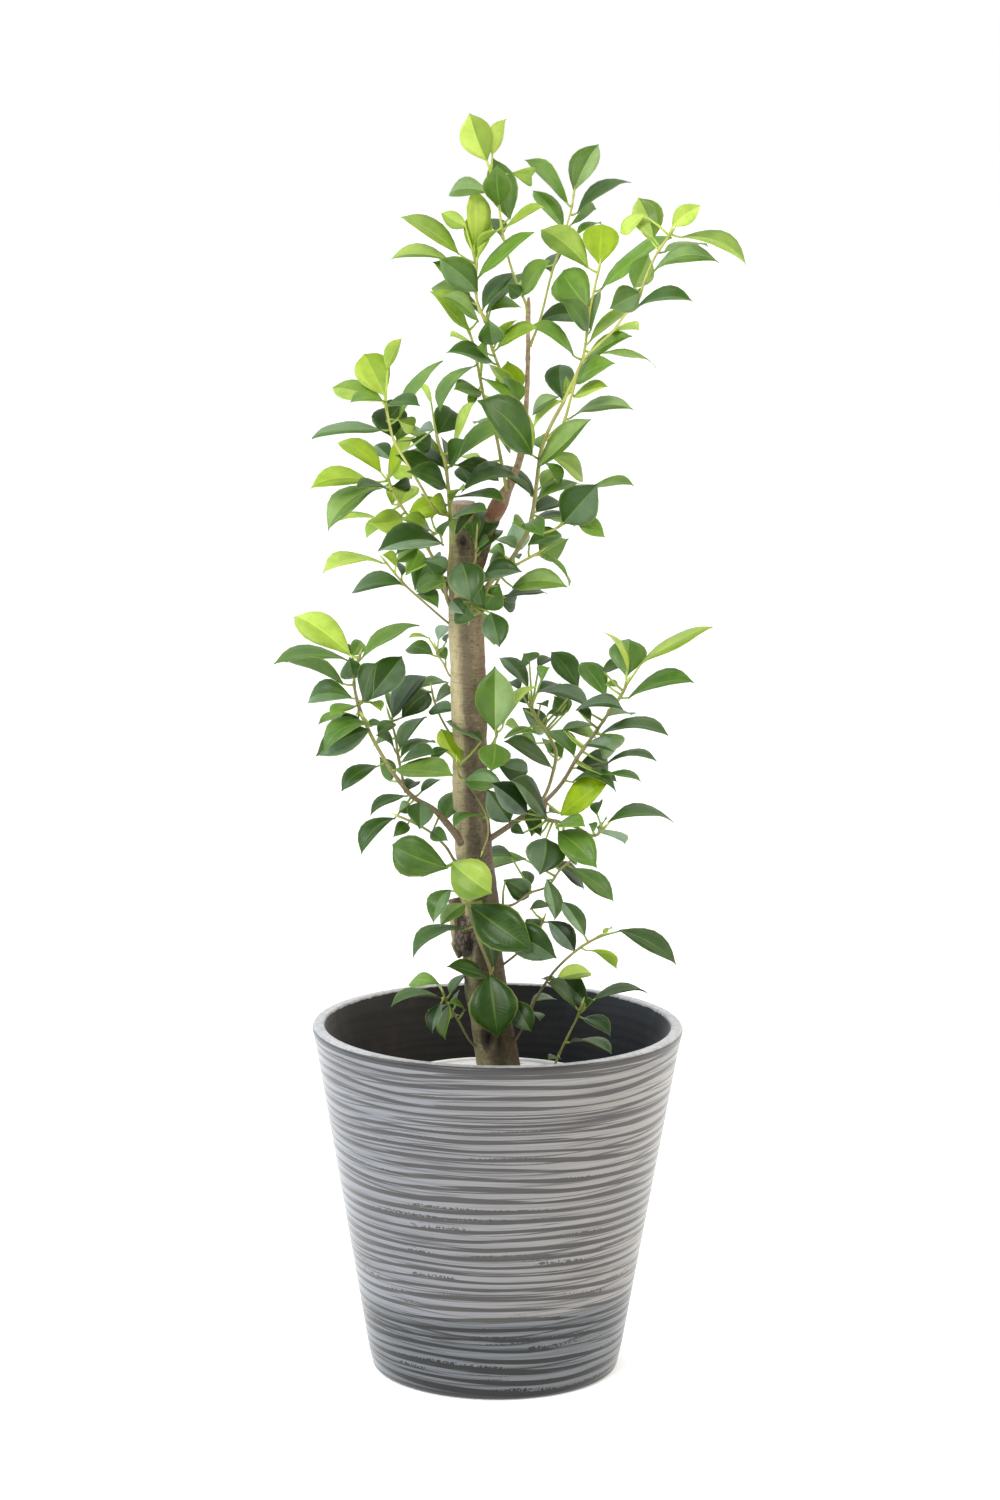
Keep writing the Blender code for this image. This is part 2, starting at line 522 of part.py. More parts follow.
                 (528, 704, 522, 694, 14, 3, -40, "Du"), (540, 704, 547, 705, 5, 3, 40, "Du"),
                 (523, 708, 548, 732, 21, 4, -54, "Cu"), (547, 714, 565, 713, 6, 2, -44, "Cu"),
                 (504, 738, 540, 733, 7, 5, -52, "Pu"), (556, 767, 507, 739, 17, 5, 66, "Du"),
                 (536, 744, 523, 734, 9, 3, -44, "Pd"), (522, 732, 506, 724, 8, 3, -44, "Vd"),
                 (548, 752, 544, 738, 10, 3, -40, "Bu"), (562, 758, 552, 742, 18, 4, -44, "Gu"),
             ]),
    ],
    "lower_right_limb": [
        Twig(3.4, 1.6,
             [(484, 842, 2), (497, 834, 6), (525, 815, 10), (545, 801, 16), (562, 783, 27),
              (577, 758, 39), (595, 733, 50), (608, 714, 58), (622, 694, 65), (627, 683, 69)],
             [
                 (627, 676, 630, 638, 38, 6, -58, "Gu"), (628, 672, 606, 630, 7, 6, -60, "Lu"),
                 (640, 664, 711, 624, 13, 5, -84, "Yu"), (628, 698, 692, 678, 16, 7, 72, "Bu"),
                 (606, 696, 581, 661, 24, 6, -62, "Bu"), (602, 672, 624, 664, 12, 5, -54, "Cd"),
                 (605, 684, 618, 686, 7, 3, -40, "Vd"), (576, 710, 622, 706, 13, 7, 62, "Du"),
                 (579, 706, 591, 720, 10, 4, 44, "Du"), (606, 716, 632, 713, 7, 4, -52, "Bu"),
                 (601, 734, 668, 733, 14, 11, 72, "Cu"), (600, 734, 618, 750, 30, 6, -56, "Gu"),
                 (562, 730, 598, 726, 7, 5, -56, "Cu"), (565, 730, 598, 735, 15, 3, -56, "Vu"),
                 (588, 744, 612, 748, 14, 5, 50, "Cu"), (574, 756, 548, 728, 18, 5, -60, "Bu"),
                 (606, 764, 656, 758, 8, 9, 60, "Cu"), (576, 768, 610, 762, 30, 8, -60, "Eu"),
                 (572, 782, 616, 788, 12, 12, 58, "Cu"), (560.5, 815, 607, 777, 29, 7, 72, "Yu"),
                 (601, 775, 641, 779, 6, 5, 54, "Bu"), (598, 772, 617, 781, 8, 3, 40, "Cu"),
             ]),
        Twig(2.0, 1.1,
             [(545, 801, 16), (546, 818, 35), (560, 822, 50),
              (578, 828, 62), (594, 836, 69), (606, 826, 77)],
             [
                 (541, 836, 528, 809, 16, 3, -44, "Du"), (546.5, 818, 515, 779, 20, 4, 66, "Du"),
                 (527, 814, 492, 783, 28, 6, 60, "Eu"), (510, 822, 488, 790, 27, 9, 58, "Du"),
                 (546, 838, 540, 874, 40, 7, 62, "Du"), (532, 836, 531, 812, 16, 3, -56, "Cu"),
                 (524, 834, 512, 825, 11, 4, -40, "Cu"), (558, 832, 596, 866, 32, 9, 74, "Gu"),
                 (556, 828, 584, 824, 12, 7, 58, "Pu"), (549, 812, 560, 812, 10, 3, -44, "Cu"),
                 (608, 822, 674, 820, 13, 12, -70, "Cu"), (597, 815, 599, 800, 12, 3, -44, "Bu"),
                 (598, 829, 626, 840, 9, 2, -50, "Ld"), (594, 832, 590, 824, 9, 3, -40, "Pd"),
                 (600, 830, 606, 818, 3, 2, -40, "Pu"), (561, 850, 578, 860, 14, 4, -48, "Du"),
             ]),
    ],
    "front_spray": [
        Twig(2.0, 1.3,
             [(494, 1003, 8), (492, 988, 27), (491, 972, 35),
              (478, 938, 39), (469, 910, 46), (464, 896, 50), (462, 888, 54)],
             [
                 (452, 862, 491, 893, 42, 8, 66, "Vu"), (451, 890, 433, 922, 20, 12, 50, "Bu"),
                 (465, 904, 440, 924, 17, 6, 44, "Pu"), (465, 929, 411, 954, 14, 11, 68, "Cu"),
                 (471, 906, 532, 950, 46, 8, 84, "Du"), (500, 928, 556, 958, 36, 8, 74, "Du"),
                 (487, 978, 448, 965, 17, 5, 46, "Du"), (494, 968, 482, 925, 20, 4, -50, "Du"),
                 (490, 974, 498, 1037, 50, 8, 68, "Du"), (482, 904, 470, 902, 6, 2, -40, "Pu"),
             ]),
    ],
    "right_thin_low_spray": [
        Twig(1.3, 0.9,
             [(496, 970, 4), (520, 951, 10), (540, 928, 16), (544, 918, 20)],
             [
                 (548, 921, 575, 951, 22, 7, 46, "Eu"), (538, 934, 531, 917, 16, 3, -40, "Du"),
                 (530, 909, 550, 904, 10, 4, -40, "Du"),
             ]),
    ],
    "right_back_twig": [
        Twig(1.5, 0.9,
             [(494, 905, -6), (512, 905, -16), (530, 893, -35),
              (548, 886, -50), (560, 870, -62), (574, 858, -69)],
             [
                 (547, 879, 557, 919, 18, 5, 48, "Bu"), (553, 863, 586, 889, 15, 5, -50, "Eu"),
                 (572, 868, 615, 900, 20, 7, 54, "Bu"), (504, 880, 530, 898, 24, 5, -46, "Cu"),
                 (529, 888, 527, 870, 13, 3, -36, "Du"), (526, 859, 476, 873, 15, 7, -66, "Mu"),
                 (512, 856, 476, 858, 12, 5, -58, "Cu"),
             ]),
    ],
    "right_sprig": [
        Twig(2.0, 1.1,
             [(508, 1050, 2), (522, 1028, 10), (531, 1008, 16),
              (547, 981, 31), (560, 965, 39), (581, 947, 50), (602, 935, 58)],
             [
                 (619, 930, 677, 963, 21, 9, 70, "Du"), (604, 935, 611, 927, 4, 2, -30, "Yu"),
                 (586, 950, 617, 966, 8, 6, -46, "Ld"), (585, 936, 563, 901, 18, 6, -50, "Bu"),
                 (513, 1000, 531, 1031, 25, 6, 48, "Du"), (531, 1012, 541, 1018, 6, 2, 36, "Du"),
                 (531, 1002, 556, 998, 8, 4, -40, "Bu"), (556, 983, 541, 978, 6, 2, -36, "Du"),
                 (556, 980, 592, 972, 16, 5, -48, "Lu"),
             ]),
    ],
    "left_sprig": [
        Twig(1.5, 1.0,
             [(484, 1052, 6), (471, 1042, 10), (458, 1020, 20), (447, 1003, 31), (443, 992, 39)],
             [
                 (439, 984, 408, 983, 15, 7, -50, "Pu"), (441, 998, 391, 1003, 9, 8, 58, "Cu"),
                 (450, 994, 467, 972, 10, 4, -48, "Cu"), (441, 1003, 431, 1032, 14, 6, 44, "Eu"),
                 (447, 1004, 433, 1016, 8, 3, 40, "Cu"), (449, 1004, 443, 1038, 12, 4, 48, "Pu"),
                 (450, 1018, 461, 1015, 6, 2, -36, "Eu"), (456, 1004, 458, 990, 5, 2, -36, "Du"),
                 (466, 1010, 450, 1002, 6, 3, 40, "Gu"),
             ]),
    ],
    "soil_shoot": [
        Twig(1.7, 1.1,
             [(546, 1112, 2), (552, 1080, 4), (556, 1062, 6),
              (568, 1036, 10), (577, 1018, 14), (582, 1004, 16)],
             [
                 (588, 1006, 557, 977, 28, 6, -52, "Du"), (576, 1007, 551, 981, 13, 4, 50, "Du"),
                 (594, 999, 647, 988, 10, 6, -62, "Du"), (583, 1018, 611, 1034, 15, 7, 50, "Eu"),
                 (569, 1042, 612, 1051, 5, 8, 58, "Du"), (586, 1008, 592, 1000, 6, 2, 36, "Cu"),
                 (560, 1058, 549, 1058, 5, 2, 30, "Du"),
             ]),
    ],
    "left_back_low_twig": [
        Twig(1.3, 0.9,
             [(462, 744, -12), (452, 736, -24), (440, 716, -43), (434, 700, -54), (432, 690, -58)],
             [
                 (420, 688, 448, 681, 11, 6, -56, "Bu"), (434, 700, 452, 690, 12, 4, -46, "Cd"),
                 (429, 711, 454, 708, 13, 4, 50, "Cu"),
             ]),
    ],
    "left_back_twig": [
        Twig(1.1, 0.8,
             [(462, 684, -12), (450, 676, -24), (444, 664, -39), (438, 655, -46), (436, 648, -50)],
             [
                 (433, 655, 405, 647, 16, 5, -44, "Bu"), (438, 640, 448, 624, 13, 3, -40, "Lu"),
                 (430, 638, 409, 637, 4, 3, -40, "Ld"), (446, 660, 440, 647, 13, 3, -36, "Bu"),
                 (446, 642, 449, 632, 6, 2, -36, "Cu"),
             ]),
    ],
}


# Trunk: sheet x, y, distance in front of its plane, and radius in units
TRUNK_LINE = [
    (500, 1165, 0, 12), (500, 1130, 0, 19), (499, 1090, 0, 23), (498, 1062, 0, 22), (490, 1010, 0, 20.5),
    (483, 960, 0, 20.5), (481, 920, 0, 20), (478, 885, 0, 19), (474, 850, 0, 18.5), (471, 800, 0, 17.5),
    (470, 755, 0, 17.5), (469, 700, 0, 18), (467, 650, 0, 18), (466, 610, 0, 17.5), (464, 570, 0, 15),
    (463, 535, 0, 12.5), (463, 501, 0, 12),
]
TRUNK_SIDES = 10
LEADER_LINE = [
    (468, 592, -2, 9), (480, 556, -8, 8.5), (490, 522, -9, 9), (499, 503, -8, 10), (510, 484, -8, 8),
    (520, 458, -9, 5.5), (525, 425, -10, 4.6), (527, 390, -10, 4.0), (528, 345, -10, 4.0),
    (528, 312, -9, 3.6), (529, 297, -8, 2.8),
]
LEADER_SIDES = 6
# Dead stub on the left of the trunk, low down, and the swelling under it
STUB_LINE = [(476, 952, 4, 14), (460, 938, 8, 13), (452, 915, 8, 9), (451, 899, 8, 6)]
STUB_SIDES = 6
TWIG_SIDES = 4
# How far a tip may be swung forward or back, in units, to keep a blade clear of its neighbours
SWINGS = (0, 8, -8, 16, -16, 24, -24, 34, -34, 46, -46, 60, -60)
# How far its base may be carried forward or back, in units, on a stalk that leans the same way
LEANS = (0, 6, -6, 12, -12, 18, -18, 26, -26)
# What a stretch of the blade past its own length costs, beside a lean and a swing of one unit squared
STRETCH_COST = 30.0
LEAN_COST = 0.0020
SWING_COST = 0.000125
# How near to a twig's start, its end and each other stalks grow, in units
START_INSET = 10
END_INSET = 2.5
ROOT_GAP = 2.4
# How far a stalk runs past the twig's centre, in metres
ROOT_DEPTH = 0.0004
# A stalk is at least this long, in metres, and one over the second length shows bare below the blade
SHORTEST_STALK = 0.003
BARE_STALK = 0.006

POT_FINISH = material("pot_glaze_grey", POT_GREY, 0.6)
NURSERY_FINISH = material("nursery_plastic_white", POT_WHITE, 0.35)
SOIL_FINISH = material("soil_brown", SOIL_BROWN, 0.95)
DRESSING_FINISH = material("dressing_white", POT_WHITE, 0.8)
BARK_FINISH = material("bark_brown", BARK_BROWN, 0.8)


def ease(value, low, high):
    return max(low, min(high, value))


def rooted(twig):
    """Each leaf of a twig with the place on the path that its stalk grows from, no two in one place."""
    marks = [0.0]
    for a, b in zip(twig.path, twig.path[1:]):
        marks.append(marks[-1] + math.dist(a, b))
    wanted = []
    for leaf in twig.leaves:
        bx, by, tx, ty = leaf[:4]
        back = 5.0 / math.hypot(tx - bx, ty - by)
        x, y = bx - (tx - bx) * back, by - (ty - by) * back
        found = None
        for k, ((ax, ay, _), (cx, cy, _)) in enumerate(zip(twig.path, twig.path[1:])):
            dx, dy = cx - ax, cy - ay
            share = ease(((x - ax) * dx + (y - ay) * dy) / (dx * dx + dy * dy), 0, 1)
            gap = math.hypot(ax + dx * share - x, ay + dy * share - y)
            if found is None or gap < found[0]:
                found = (gap, marks[k] + (marks[k + 1] - marks[k]) * share)
        wanted.append((found[1], len(wanted), leaf))
    wanted.sort()
    least, most = min(START_INSET, 0.5 * marks[-1]), marks[-1] - END_INSET
    step = min(ROOT_GAP, (most - least) / len(wanted))
    lengths = []
    for length, _, _ in wanted:
        lengths.append(max(length, least))
        least = lengths[-1] + step
    placed = []
    for length, (_, _, leaf) in zip(lengths[::-1], wanted[::-1]):
        length = min(length, most)
        most = length - step
        k = max(i for i in range(len(marks) - 1) if marks[i] <= length)
        share = (length - marks[k]) / (marks[k + 1] - marks[k])
        placed.append((leaf, tuple(a + (b - a) * share for a, b in zip(twig.path[k], twig.path[k + 1]))))
    return placed


def reach_of(leaf):
    """How far the blade runs across the view, and how far toward the eye from base to tip."""
    bx, by, tx, ty = leaf[:4]
    length = leaf[6]
    flat = math.hypot(tx - bx, ty - by)
    return flat, math.copysign(math.sqrt(max(length * length - flat * flat, (0.12 * flat) ** 2)), length)


def strain(leaf, swing, lean):
    """What moving a leaf costs it: mostly the stretch of its blade."""
    flat, deep = reach_of(leaf)
    stretch = max(0.0, math.hypot(flat, deep + swing) / max(abs(leaf[6]), flat) - 1)
    return STRETCH_COST * stretch ** 2 + LEAN_COST * lean ** 2 + SWING_COST * swing ** 2


def pose(leaf, spot, swing=0.0, lean=0.0):
    """Where one blade sits: its root on the twig, base, tip, upward direction, half width and arch."""
    bx, by, tx, ty, width, arch, _, look = leaf
    flat, deep = reach_of(leaf)
    deep += swing
    rx, ry, rz = spot
    away = math.hypot(bx - rx, by - ry)
    base = at(bx, by, rz + deep * ease(away / flat, 0.06, 0.4) + lean)
    tip = at(tx, ty, rz + deep + lean)
    root = at(rx, ry, rz)
    if (base - root).length < SHORTEST_STALK:
        base = root + (tip - root).normalized() * SHORTEST_STALK
    along = (tip - base).normalized()
    sight = (base - EYE).normalized()
    level = along.cross(sight).normalized()
    upright = along.cross(level)
    span = (tip - base).length
    half = max(width * UNIT, BLADE_RATIO * span) / 2
    share = ease(width * UNIT / (2 * half), 0.05, 1)
    inward = (root - (base + tip) / 2).normalized()
    best = None
    for sign in (1, -1):
        side = level * share + upright * (sign * math.sqrt(1 - share * share))
        top = side.cross(along)
        if (top.dot(sight) > 0) == (look[1] == "u"):
            top = -top
        score = top.z + 0.4 * top.dot(inward)
        if best is None or score > best[0]:
            best = (score, top)
    return root, base, tip, best[1], half, arch * UNIT


def blade(leaf, spot, shift=(0, 0), grown=0.0):
    """One leaf as closed solids: a blade, flat above, keeled below, and its stalk where that turns back."""
    root, base, tip, top, half, arch = pose(leaf, spot, *shift)
    along = (tip - base).normalized()
    side = along.cross(top)

    def section(centre, reach, keel, lift=0.0):
        rise = top * (lift + grown)
        return [centre - side * reach + rise, centre - top * keel, centre + side * reach + rise]

    size = STALK_RADIUS + grown
    stalk = base - root
    root = root - stalk.normalized() * ROOT_DEPTH
    rings, apart = [], []
    if stalk.normalized().dot(along) > 0.3:
        rings.append(section(root, size, size))
        if stalk.length > BARE_STALK:
            rings.append(section(base, size, size))
    else:
        rings.append(section(base - along * size, size, size))
        apart.append(tube([root, base + stalk.normalized() * size], [size * 1.2] * 2, 3))
    for share, wide in BLADE_STATIONS:
        centre = base.lerp(tip, share) + top * (arch * 4 * share * (1 - share))
        rings.append(section(centre, half * wide + grown, BLADE_KEEL + grown, half * wide * BLADE_FOLD))
    return [loft(rings, tip + along * grown)] + apart


def twig_shape(twig, sides, grown=0.0):
    path = [at(*p) for p in twig.path]
    steps = len(path) - 1
    radii = [twig.start + (twig.end - twig.start) * i / steps + grown for i in range(len(path))]
    return tube(path, radii, sides)


def lined(line, sides, grown=0.0):
    return tube([at(x, y, z) for x, y, z, _ in line], [r * UNIT + grown for *_, r in line], sides)


def box_of(points):
    return [min(p[i] for p in points) for i in range(3)] + [max(p[i] for p in points) for i in range(3)]


class Taken:
    """Room that is already filled, kept by node, so that a new blade can be tried against it."""

    def __init__(self):
        self.held = []

    def add(self, node, shape):
        self.held.append((node, box_of(shape[0]), BVHTree.FromPolygons(shape[0], shape[1])))

    def met(self, shapes):
        """The nodes that the shapes meet."""
        nodes = set()
        for shape in shapes:
            box, tree = box_of(shape[0]), BVHTree.FromPolygons(shape[0], shape[1])
            for node, other, held in self.held:
                if any(box[i] > other[i + 3] or other[i] > box[i + 3] for i in range(3)):
                    continue
                if node not in nodes and held.overlap(tree):
                    nodes.add(node)
        return nodes


def place_leaves():
    """Chooses each leaf's swing and lean, so that no blade meets another node, nor its own where it can."""
    taken = Taken()
    for line, sides in ((TRUNK_LINE, TRUNK_SIDES), (LEADER_LINE, LEADER_SIDES), (STUB_LINE, STUB_SIDES)):
        taken.add("trunk", lined(line, sides, LEAF_CLEARANCE))
    for node, twigs in SPRAYS.items():
        for twig in twigs:
            taken.add(node + "_wood", twig_shape(twig, TWIG_SIDES, LEAF_CLEARANCE))
    chosen = {}
    for node, twigs in SPRAYS.items():
        for twig in twigs:
            for leaf, spot in rooted(twig):
                fair = None
                shifts = [(swing, lean) for lean in LEANS for swing in SWINGS]
                for shift in sorted(shifts, key=lambda s: strain(leaf, *s)):
                    met = taken.met(blade(leaf, spot, shift, LEAF_CLEARANCE)) - {node + "_wood"}
                    if not met:
                        fair = shift
                        break
                    if fair is None and met == {node}:
                        fair = shift
                if fair is None:
                    continue
                chosen[id(leaf)] = fair
                for shape in blade(leaf, spot, fair, LEAF_CLEARANCE):
                    taken.add(node, shape)
    return chosen


def cup(top, rim, base, wall, floor, low=0.0):
    """The profile of a plain tapered cup with a solid floor and a rounded lip and foot."""
    slope = (rim - base) / (top - low)
    inner_top, inner_low = rim - wall, base + slope * floor - wall
    r, f = POT_LIP_ROUND, POT_FOOT_ROUND
    return [
        (0, low), (base - f, low), (base - 0.3 * f, low + 0.3 * f), (base + slope * f, low + f),
        (rim - slope * r, top - r), (rim - 0.3 * r, top - 0.3 * r), (rim - r, top),
        (inner_top + 0.4 * r, top), (inner_top - slope * r, top - 0.5 * r),
        (inner_low, low + floor), (0, low + floor),
    ]


# Cover pot
POT_PROFILE = cup(POT_HEIGHT, POT_RIM_RADIUS, POT_BASE_RADIUS, POT_WALL, POT_FLOOR)
cover_pot = turned("cover_pot", POT_PROFILE, 44, POT_FINISH)

# Nursery pot, its rim a turned-out band, its floor with drain holes
NURSERY_LOW = POT_FLOOR + FIT_GAP
BAND = 0.0018
wall_slope = (NURSERY_RIM_RADIUS - BAND - NURSERY_BASE_RADIUS) / (NURSERY_TOP - NURSERY_LOW)
under_band = NURSERY_TOP - NURSERY_RIM_DEPTH
band_wall = NURSERY_BASE_RADIUS + wall_slope * (under_band - NURSERY_LOW)
nursery_pot = turned(
    "nursery_pot",
    [
        (0, NURSERY_LOW), (NURSERY_BASE_RADIUS, NURSERY_LOW), (band_wall, under_band),
        (band_wall + BAND + 0.001, under_band), (NURSERY_RIM_RADIUS, NURSERY_TOP),
        (NURSERY_RIM_RADIUS - BAND - NURSERY_WALL, NURSERY_TOP),
        (NURSERY_BASE_RADIUS - NURSERY_WALL, NURSERY_LOW + NURSERY_WALL), (0, NURSERY_LOW + NURSERY_WALL),
    ],
    32, NURSERY_FINISH,
)
for k in range(DRAINS):
    turn = math.pi / 4 + 2 * math.pi * k / DRAINS
    spot = Vector((DRAIN_RING * math.cos(turn), DRAIN_RING * math.sin(turn), NURSERY_LOW - 0.005))
    drain = solid("drain_cutter", tube([spot, spot + Vector((0, 0, 0.012))], [DRAIN_RADIUS] * 2, 8))
    cut(nursery_pot, drain)
    bpy.data.objects.remove(drain)

# Trunk, leading limb and dead stub, grown as one
trunk = solid("trunk", lined(TRUNK_LINE, TRUNK_SIDES), BARK_FINISH)
limb = solid("limb", lined(LEADER_LINE, LEADER_SIDES))
stub = solid("stub", lined(STUB_LINE, STUB_SIDES))
join(trunk, [limb, stub])
for face in trunk.data.polygons:
    face.use_smooth = True
# The same shape a little larger, which makes room for the trunk in what it meets
room = solid("trunk_room", lined(TRUNK_LINE, TRUNK_SIDES, FIT_GAP))
limb = solid("limb_room", lined(LEADER_LINE, LEADER_SIDES, FIT_GAP))
stub = solid("stub_room", lined(STUB_LINE, STUB_SIDES, FIT_GAP))
join(room, [limb, stub])
as_cutter(room)

# Leafy sprays, each butted to the trunk. A union leaves many tiny edges where stalks meet, which are merged
KEPT_SHARE = 0.77
SWUNG = place_leaves()
for node, twigs in SPRAYS.items():
    pieces = [solid("piece", twig_shape(twig, TWIG_SIDES)) for twig in twigs]
    for twig in twigs:
        for leaf, spot in rooted(twig):
            if id(leaf) in SWUNG:
                pieces += [solid("leaf", shape) for shape in blade(leaf, spot, SWUNG[id(leaf)])]
    spray = pieces.pop(0)
    spray.name = node
    spray.data.materials.append(material(node + "_leaf_green", LEAF_GREEN, 0.45))
    join(spray, pieces)
    thin_out(spray, KEPT_SHARE)
    if node != "soil_shoot":
        cut(spray, room)
    drop_scraps(spray)

# Soil and its dressing, with plain holes for the trunk and the shoot
INNER_BASE = NURSERY_BASE_RADIUS - NURSERY_WALL - FIT_GAP
SOIL_LOW = NURSERY_LOW + NURSERY_WALL + FIT_GAP
INNER_SLOPE = (NURSERY_RIM_RADIUS - BAND - NURSERY_BASE_RADIUS) / (NURSERY_TOP - NURSERY_LOW - NURSERY_WALL)


def layer(name, low, top, finish):
    """A round layer that fills the nursery pot between two heights."""
    low_radius = INNER_BASE + INNER_SLOPE * (low - SOIL_LOW)
    top_radius = INNER_BASE + INNER_SLOPE * (top - SOIL_LOW)
    return turned(name, [(0, low), (low_radius, low), (top_radius, top), (0, top)], 32, finish)


dressing_low = DRESSING_TOP - DRESSING_DEPTH
soil = layer("soil", SOIL_LOW, dressing_low - FIT_GAP, SOIL_FINISH)
top_dressing = layer("top_dressing", dressing_low, DRESSING_TOP, DRESSING_FINISH)
shoot_room = solid("shoot_room", twig_shape(SPRAYS["soil_shoot"][0], 8, FIT_GAP + 0.0002))
as_cutter(shoot_room)
for filling in (soil, top_dressing):
    cut(filling, room)
    cut(filling, shoot_room)
for cutter in (room, shoot_room):
    bpy.data.objects.remove(cutter)
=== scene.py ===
"""Dresses a young Chinese banyan in its brushed grey pot. Metres, up is +Z, the seen side faces -Y."""

import math
import random

import bmesh
import bpy
from mathutils import Matrix, Vector, noise
from mathutils.bvhtree import BVHTree


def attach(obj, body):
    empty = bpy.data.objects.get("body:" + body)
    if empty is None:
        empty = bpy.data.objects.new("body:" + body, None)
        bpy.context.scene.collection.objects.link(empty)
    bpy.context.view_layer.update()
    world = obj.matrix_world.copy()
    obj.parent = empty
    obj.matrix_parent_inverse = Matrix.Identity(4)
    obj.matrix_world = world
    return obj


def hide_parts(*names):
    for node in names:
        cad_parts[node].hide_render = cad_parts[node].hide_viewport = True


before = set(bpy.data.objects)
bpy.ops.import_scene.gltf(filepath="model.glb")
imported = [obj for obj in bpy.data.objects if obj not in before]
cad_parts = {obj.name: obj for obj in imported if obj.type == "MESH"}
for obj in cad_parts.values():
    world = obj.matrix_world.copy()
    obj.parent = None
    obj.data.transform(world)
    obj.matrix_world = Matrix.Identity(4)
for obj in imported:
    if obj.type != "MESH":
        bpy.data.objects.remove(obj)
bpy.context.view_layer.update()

# Camera: level with the plant's top, three metres away, tipped down so that the pot's far rim shows
# behind its near one, and turned half a degree on its axis.
EYE = Vector((0.0, -3.019, 1.010))
EYE_DOWN = math.radians(9.42)
EYE_ROLL = math.radians(0.5)
camera_data = bpy.data.cameras.new("camera")
camera_data.lens = 91.68
camera_data.clip_end = 100
camera = bpy.data.objects.new("camera", camera_data)
bpy.context.scene.collection.objects.link(camera)
camera.matrix_world = (
    Matrix.Translation(EYE)
    @ Matrix.Rotation(math.pi / 2 - EYE_DOWN, 4, "X")
    @ Matrix.Rotation(EYE_ROLL, 4, "Z")
)
bpy.context.scene.camera = camera
bpy.context.scene.view_settings.view_transform = "Standard"

# Studio: a white sweep lit all round, brightest behind and above the plant and dim behind the camera,
# cool from the left and warm from the right, with large soft lights high in front and at the sides.
BACK_LIGHT = 1.30
FRONT_LIGHT = 0.22
TOP_LIGHT = 1.30
COOL_SIDE = (0.84, 0.92, 1.0, 1)
WARM_SIDE = (1.0, 0.94, 0.86, 1)
SWEEP_WHITE = (1, 1, 1, 1)
LIGHTS_AIM = Vector((0, 0, 0.6))
world = bpy.data.worlds.new("studio")
bpy.context.scene.world = world
world.use_nodes = True
sky = world.node_tree
sky.nodes.clear()


def wire(tree, kind, inputs=None, **settings):
    """Adds a node to a tree, sets its options, and fills its inputs with values or links."""
    node = tree.nodes.new(kind)
    for key, value in settings.items():
        setattr(node, key, value)
    for key, value in (inputs or {}).items():
        if isinstance(value, bpy.types.NodeSocket):
            tree.links.new(value, node.inputs[key])
        else:
            node.inputs[key].default_value = value
    return node


way = wire(sky, "ShaderNodeTexCoord").outputs["Generated"]
towards = wire(sky, "ShaderNodeSeparateXYZ", {0: way}).outputs
depth = wire(
    sky, "ShaderNodeMapRange",
    {"Value": towards["Y"], "From Min": -0.75, "From Max": 0.25, "To Min": FRONT_LIGHT, "To Max": BACK_LIGHT},
)
above = wire(
    sky, "ShaderNodeMapRange",
    {"Value": towards["Z"], "From Min": 0.35, "From Max": 0.95, "To Min": 0.0, "To Max": TOP_LIGHT},
)
brighter = wire(sky, "ShaderNodeMath", {0: depth.outputs[0], 1: above.outputs[0]}, operation="MAXIMUM")
side = wire(sky, "ShaderNodeMapRange", {"Value": towards["X"], "From Min": -0.9, "From Max": 0.9})
tint = wire(
    sky, "ShaderNodeMix", {"Factor": side.outputs[0], "A": COOL_SIDE, "B": WARM_SIDE}, data_type="RGBA"
)
lit = wire(sky, "ShaderNodeBackground", {"Color": tint.outputs["Result"], "Strength": brighter.outputs[0]})
seen = wire(sky, "ShaderNodeBackground", {"Color": SWEEP_WHITE, "Strength": 1.0})
to_camera = wire(sky, "ShaderNodeLightPath").outputs["Is Camera Ray"]
pick = wire(sky, "ShaderNodeMixShader", {"Fac": to_camera, 1: lit.outputs[0], 2: seen.outputs[0]})
wire(sky, "ShaderNodeOutputWorld", {"Surface": pick.outputs[0]})

for name, power, size, place, colour in (
    ("front_box", 58, 1.1, (-1.1, -2.2, 2.5), (1.0, 0.98, 0.95)),
    ("left_box", 18, 0.9, (-2.1, -0.2, 1.7), (0.90, 0.95, 1.0)),
    ("right_box", 18, 0.9, (2.1, -0.4, 1.7), (1.0, 0.94, 0.86)),
):
    lamp = bpy.data.lights.new(name, "AREA")
    lamp.energy, lamp.size, lamp.color = power, size, colour
    holder = bpy.data.objects.new(name, lamp)
    bpy.context.scene.collection.objects.link(holder)
    holder.location = place
    aim = LIGHTS_AIM - Vector(place)
    holder.rotation_euler = aim.to_track_quat("-Z", "Y").to_euler()

FLOOR_GLOW = 0.30
FLOOR_WHITE = (0.93, 0.93, 0.93, 1)
FLOOR_RADIUS = 40
floor_mesh = bmesh.new()
bmesh.ops.create_circle(floor_mesh, cap_ends=True, segments=64, radius=FLOOR_RADIUS)
floor_data = bpy.data.meshes.new("floor")
floor_mesh.to_mesh(floor_data)
floor_mesh.free()
floor = bpy.data.objects.new("floor", floor_data)
bpy.context.scene.collection.objects.link(floor)
floor_paint = bpy.data.materials.new("floor_white")
floor_paint.use_nodes = True
floor_shader = floor_paint.node_tree.nodes["Principled BSDF"].inputs
floor_shader["Base Color"].default_value = FLOOR_WHITE
floor_shader["Roughness"].default_value = 0.9
floor_shader["Emission Color"].default_value = SWEEP_WHITE
floor_shader["Emission Strength"].default_value = FLOOR_GLOW
floor_data.materials.append(floor_paint)


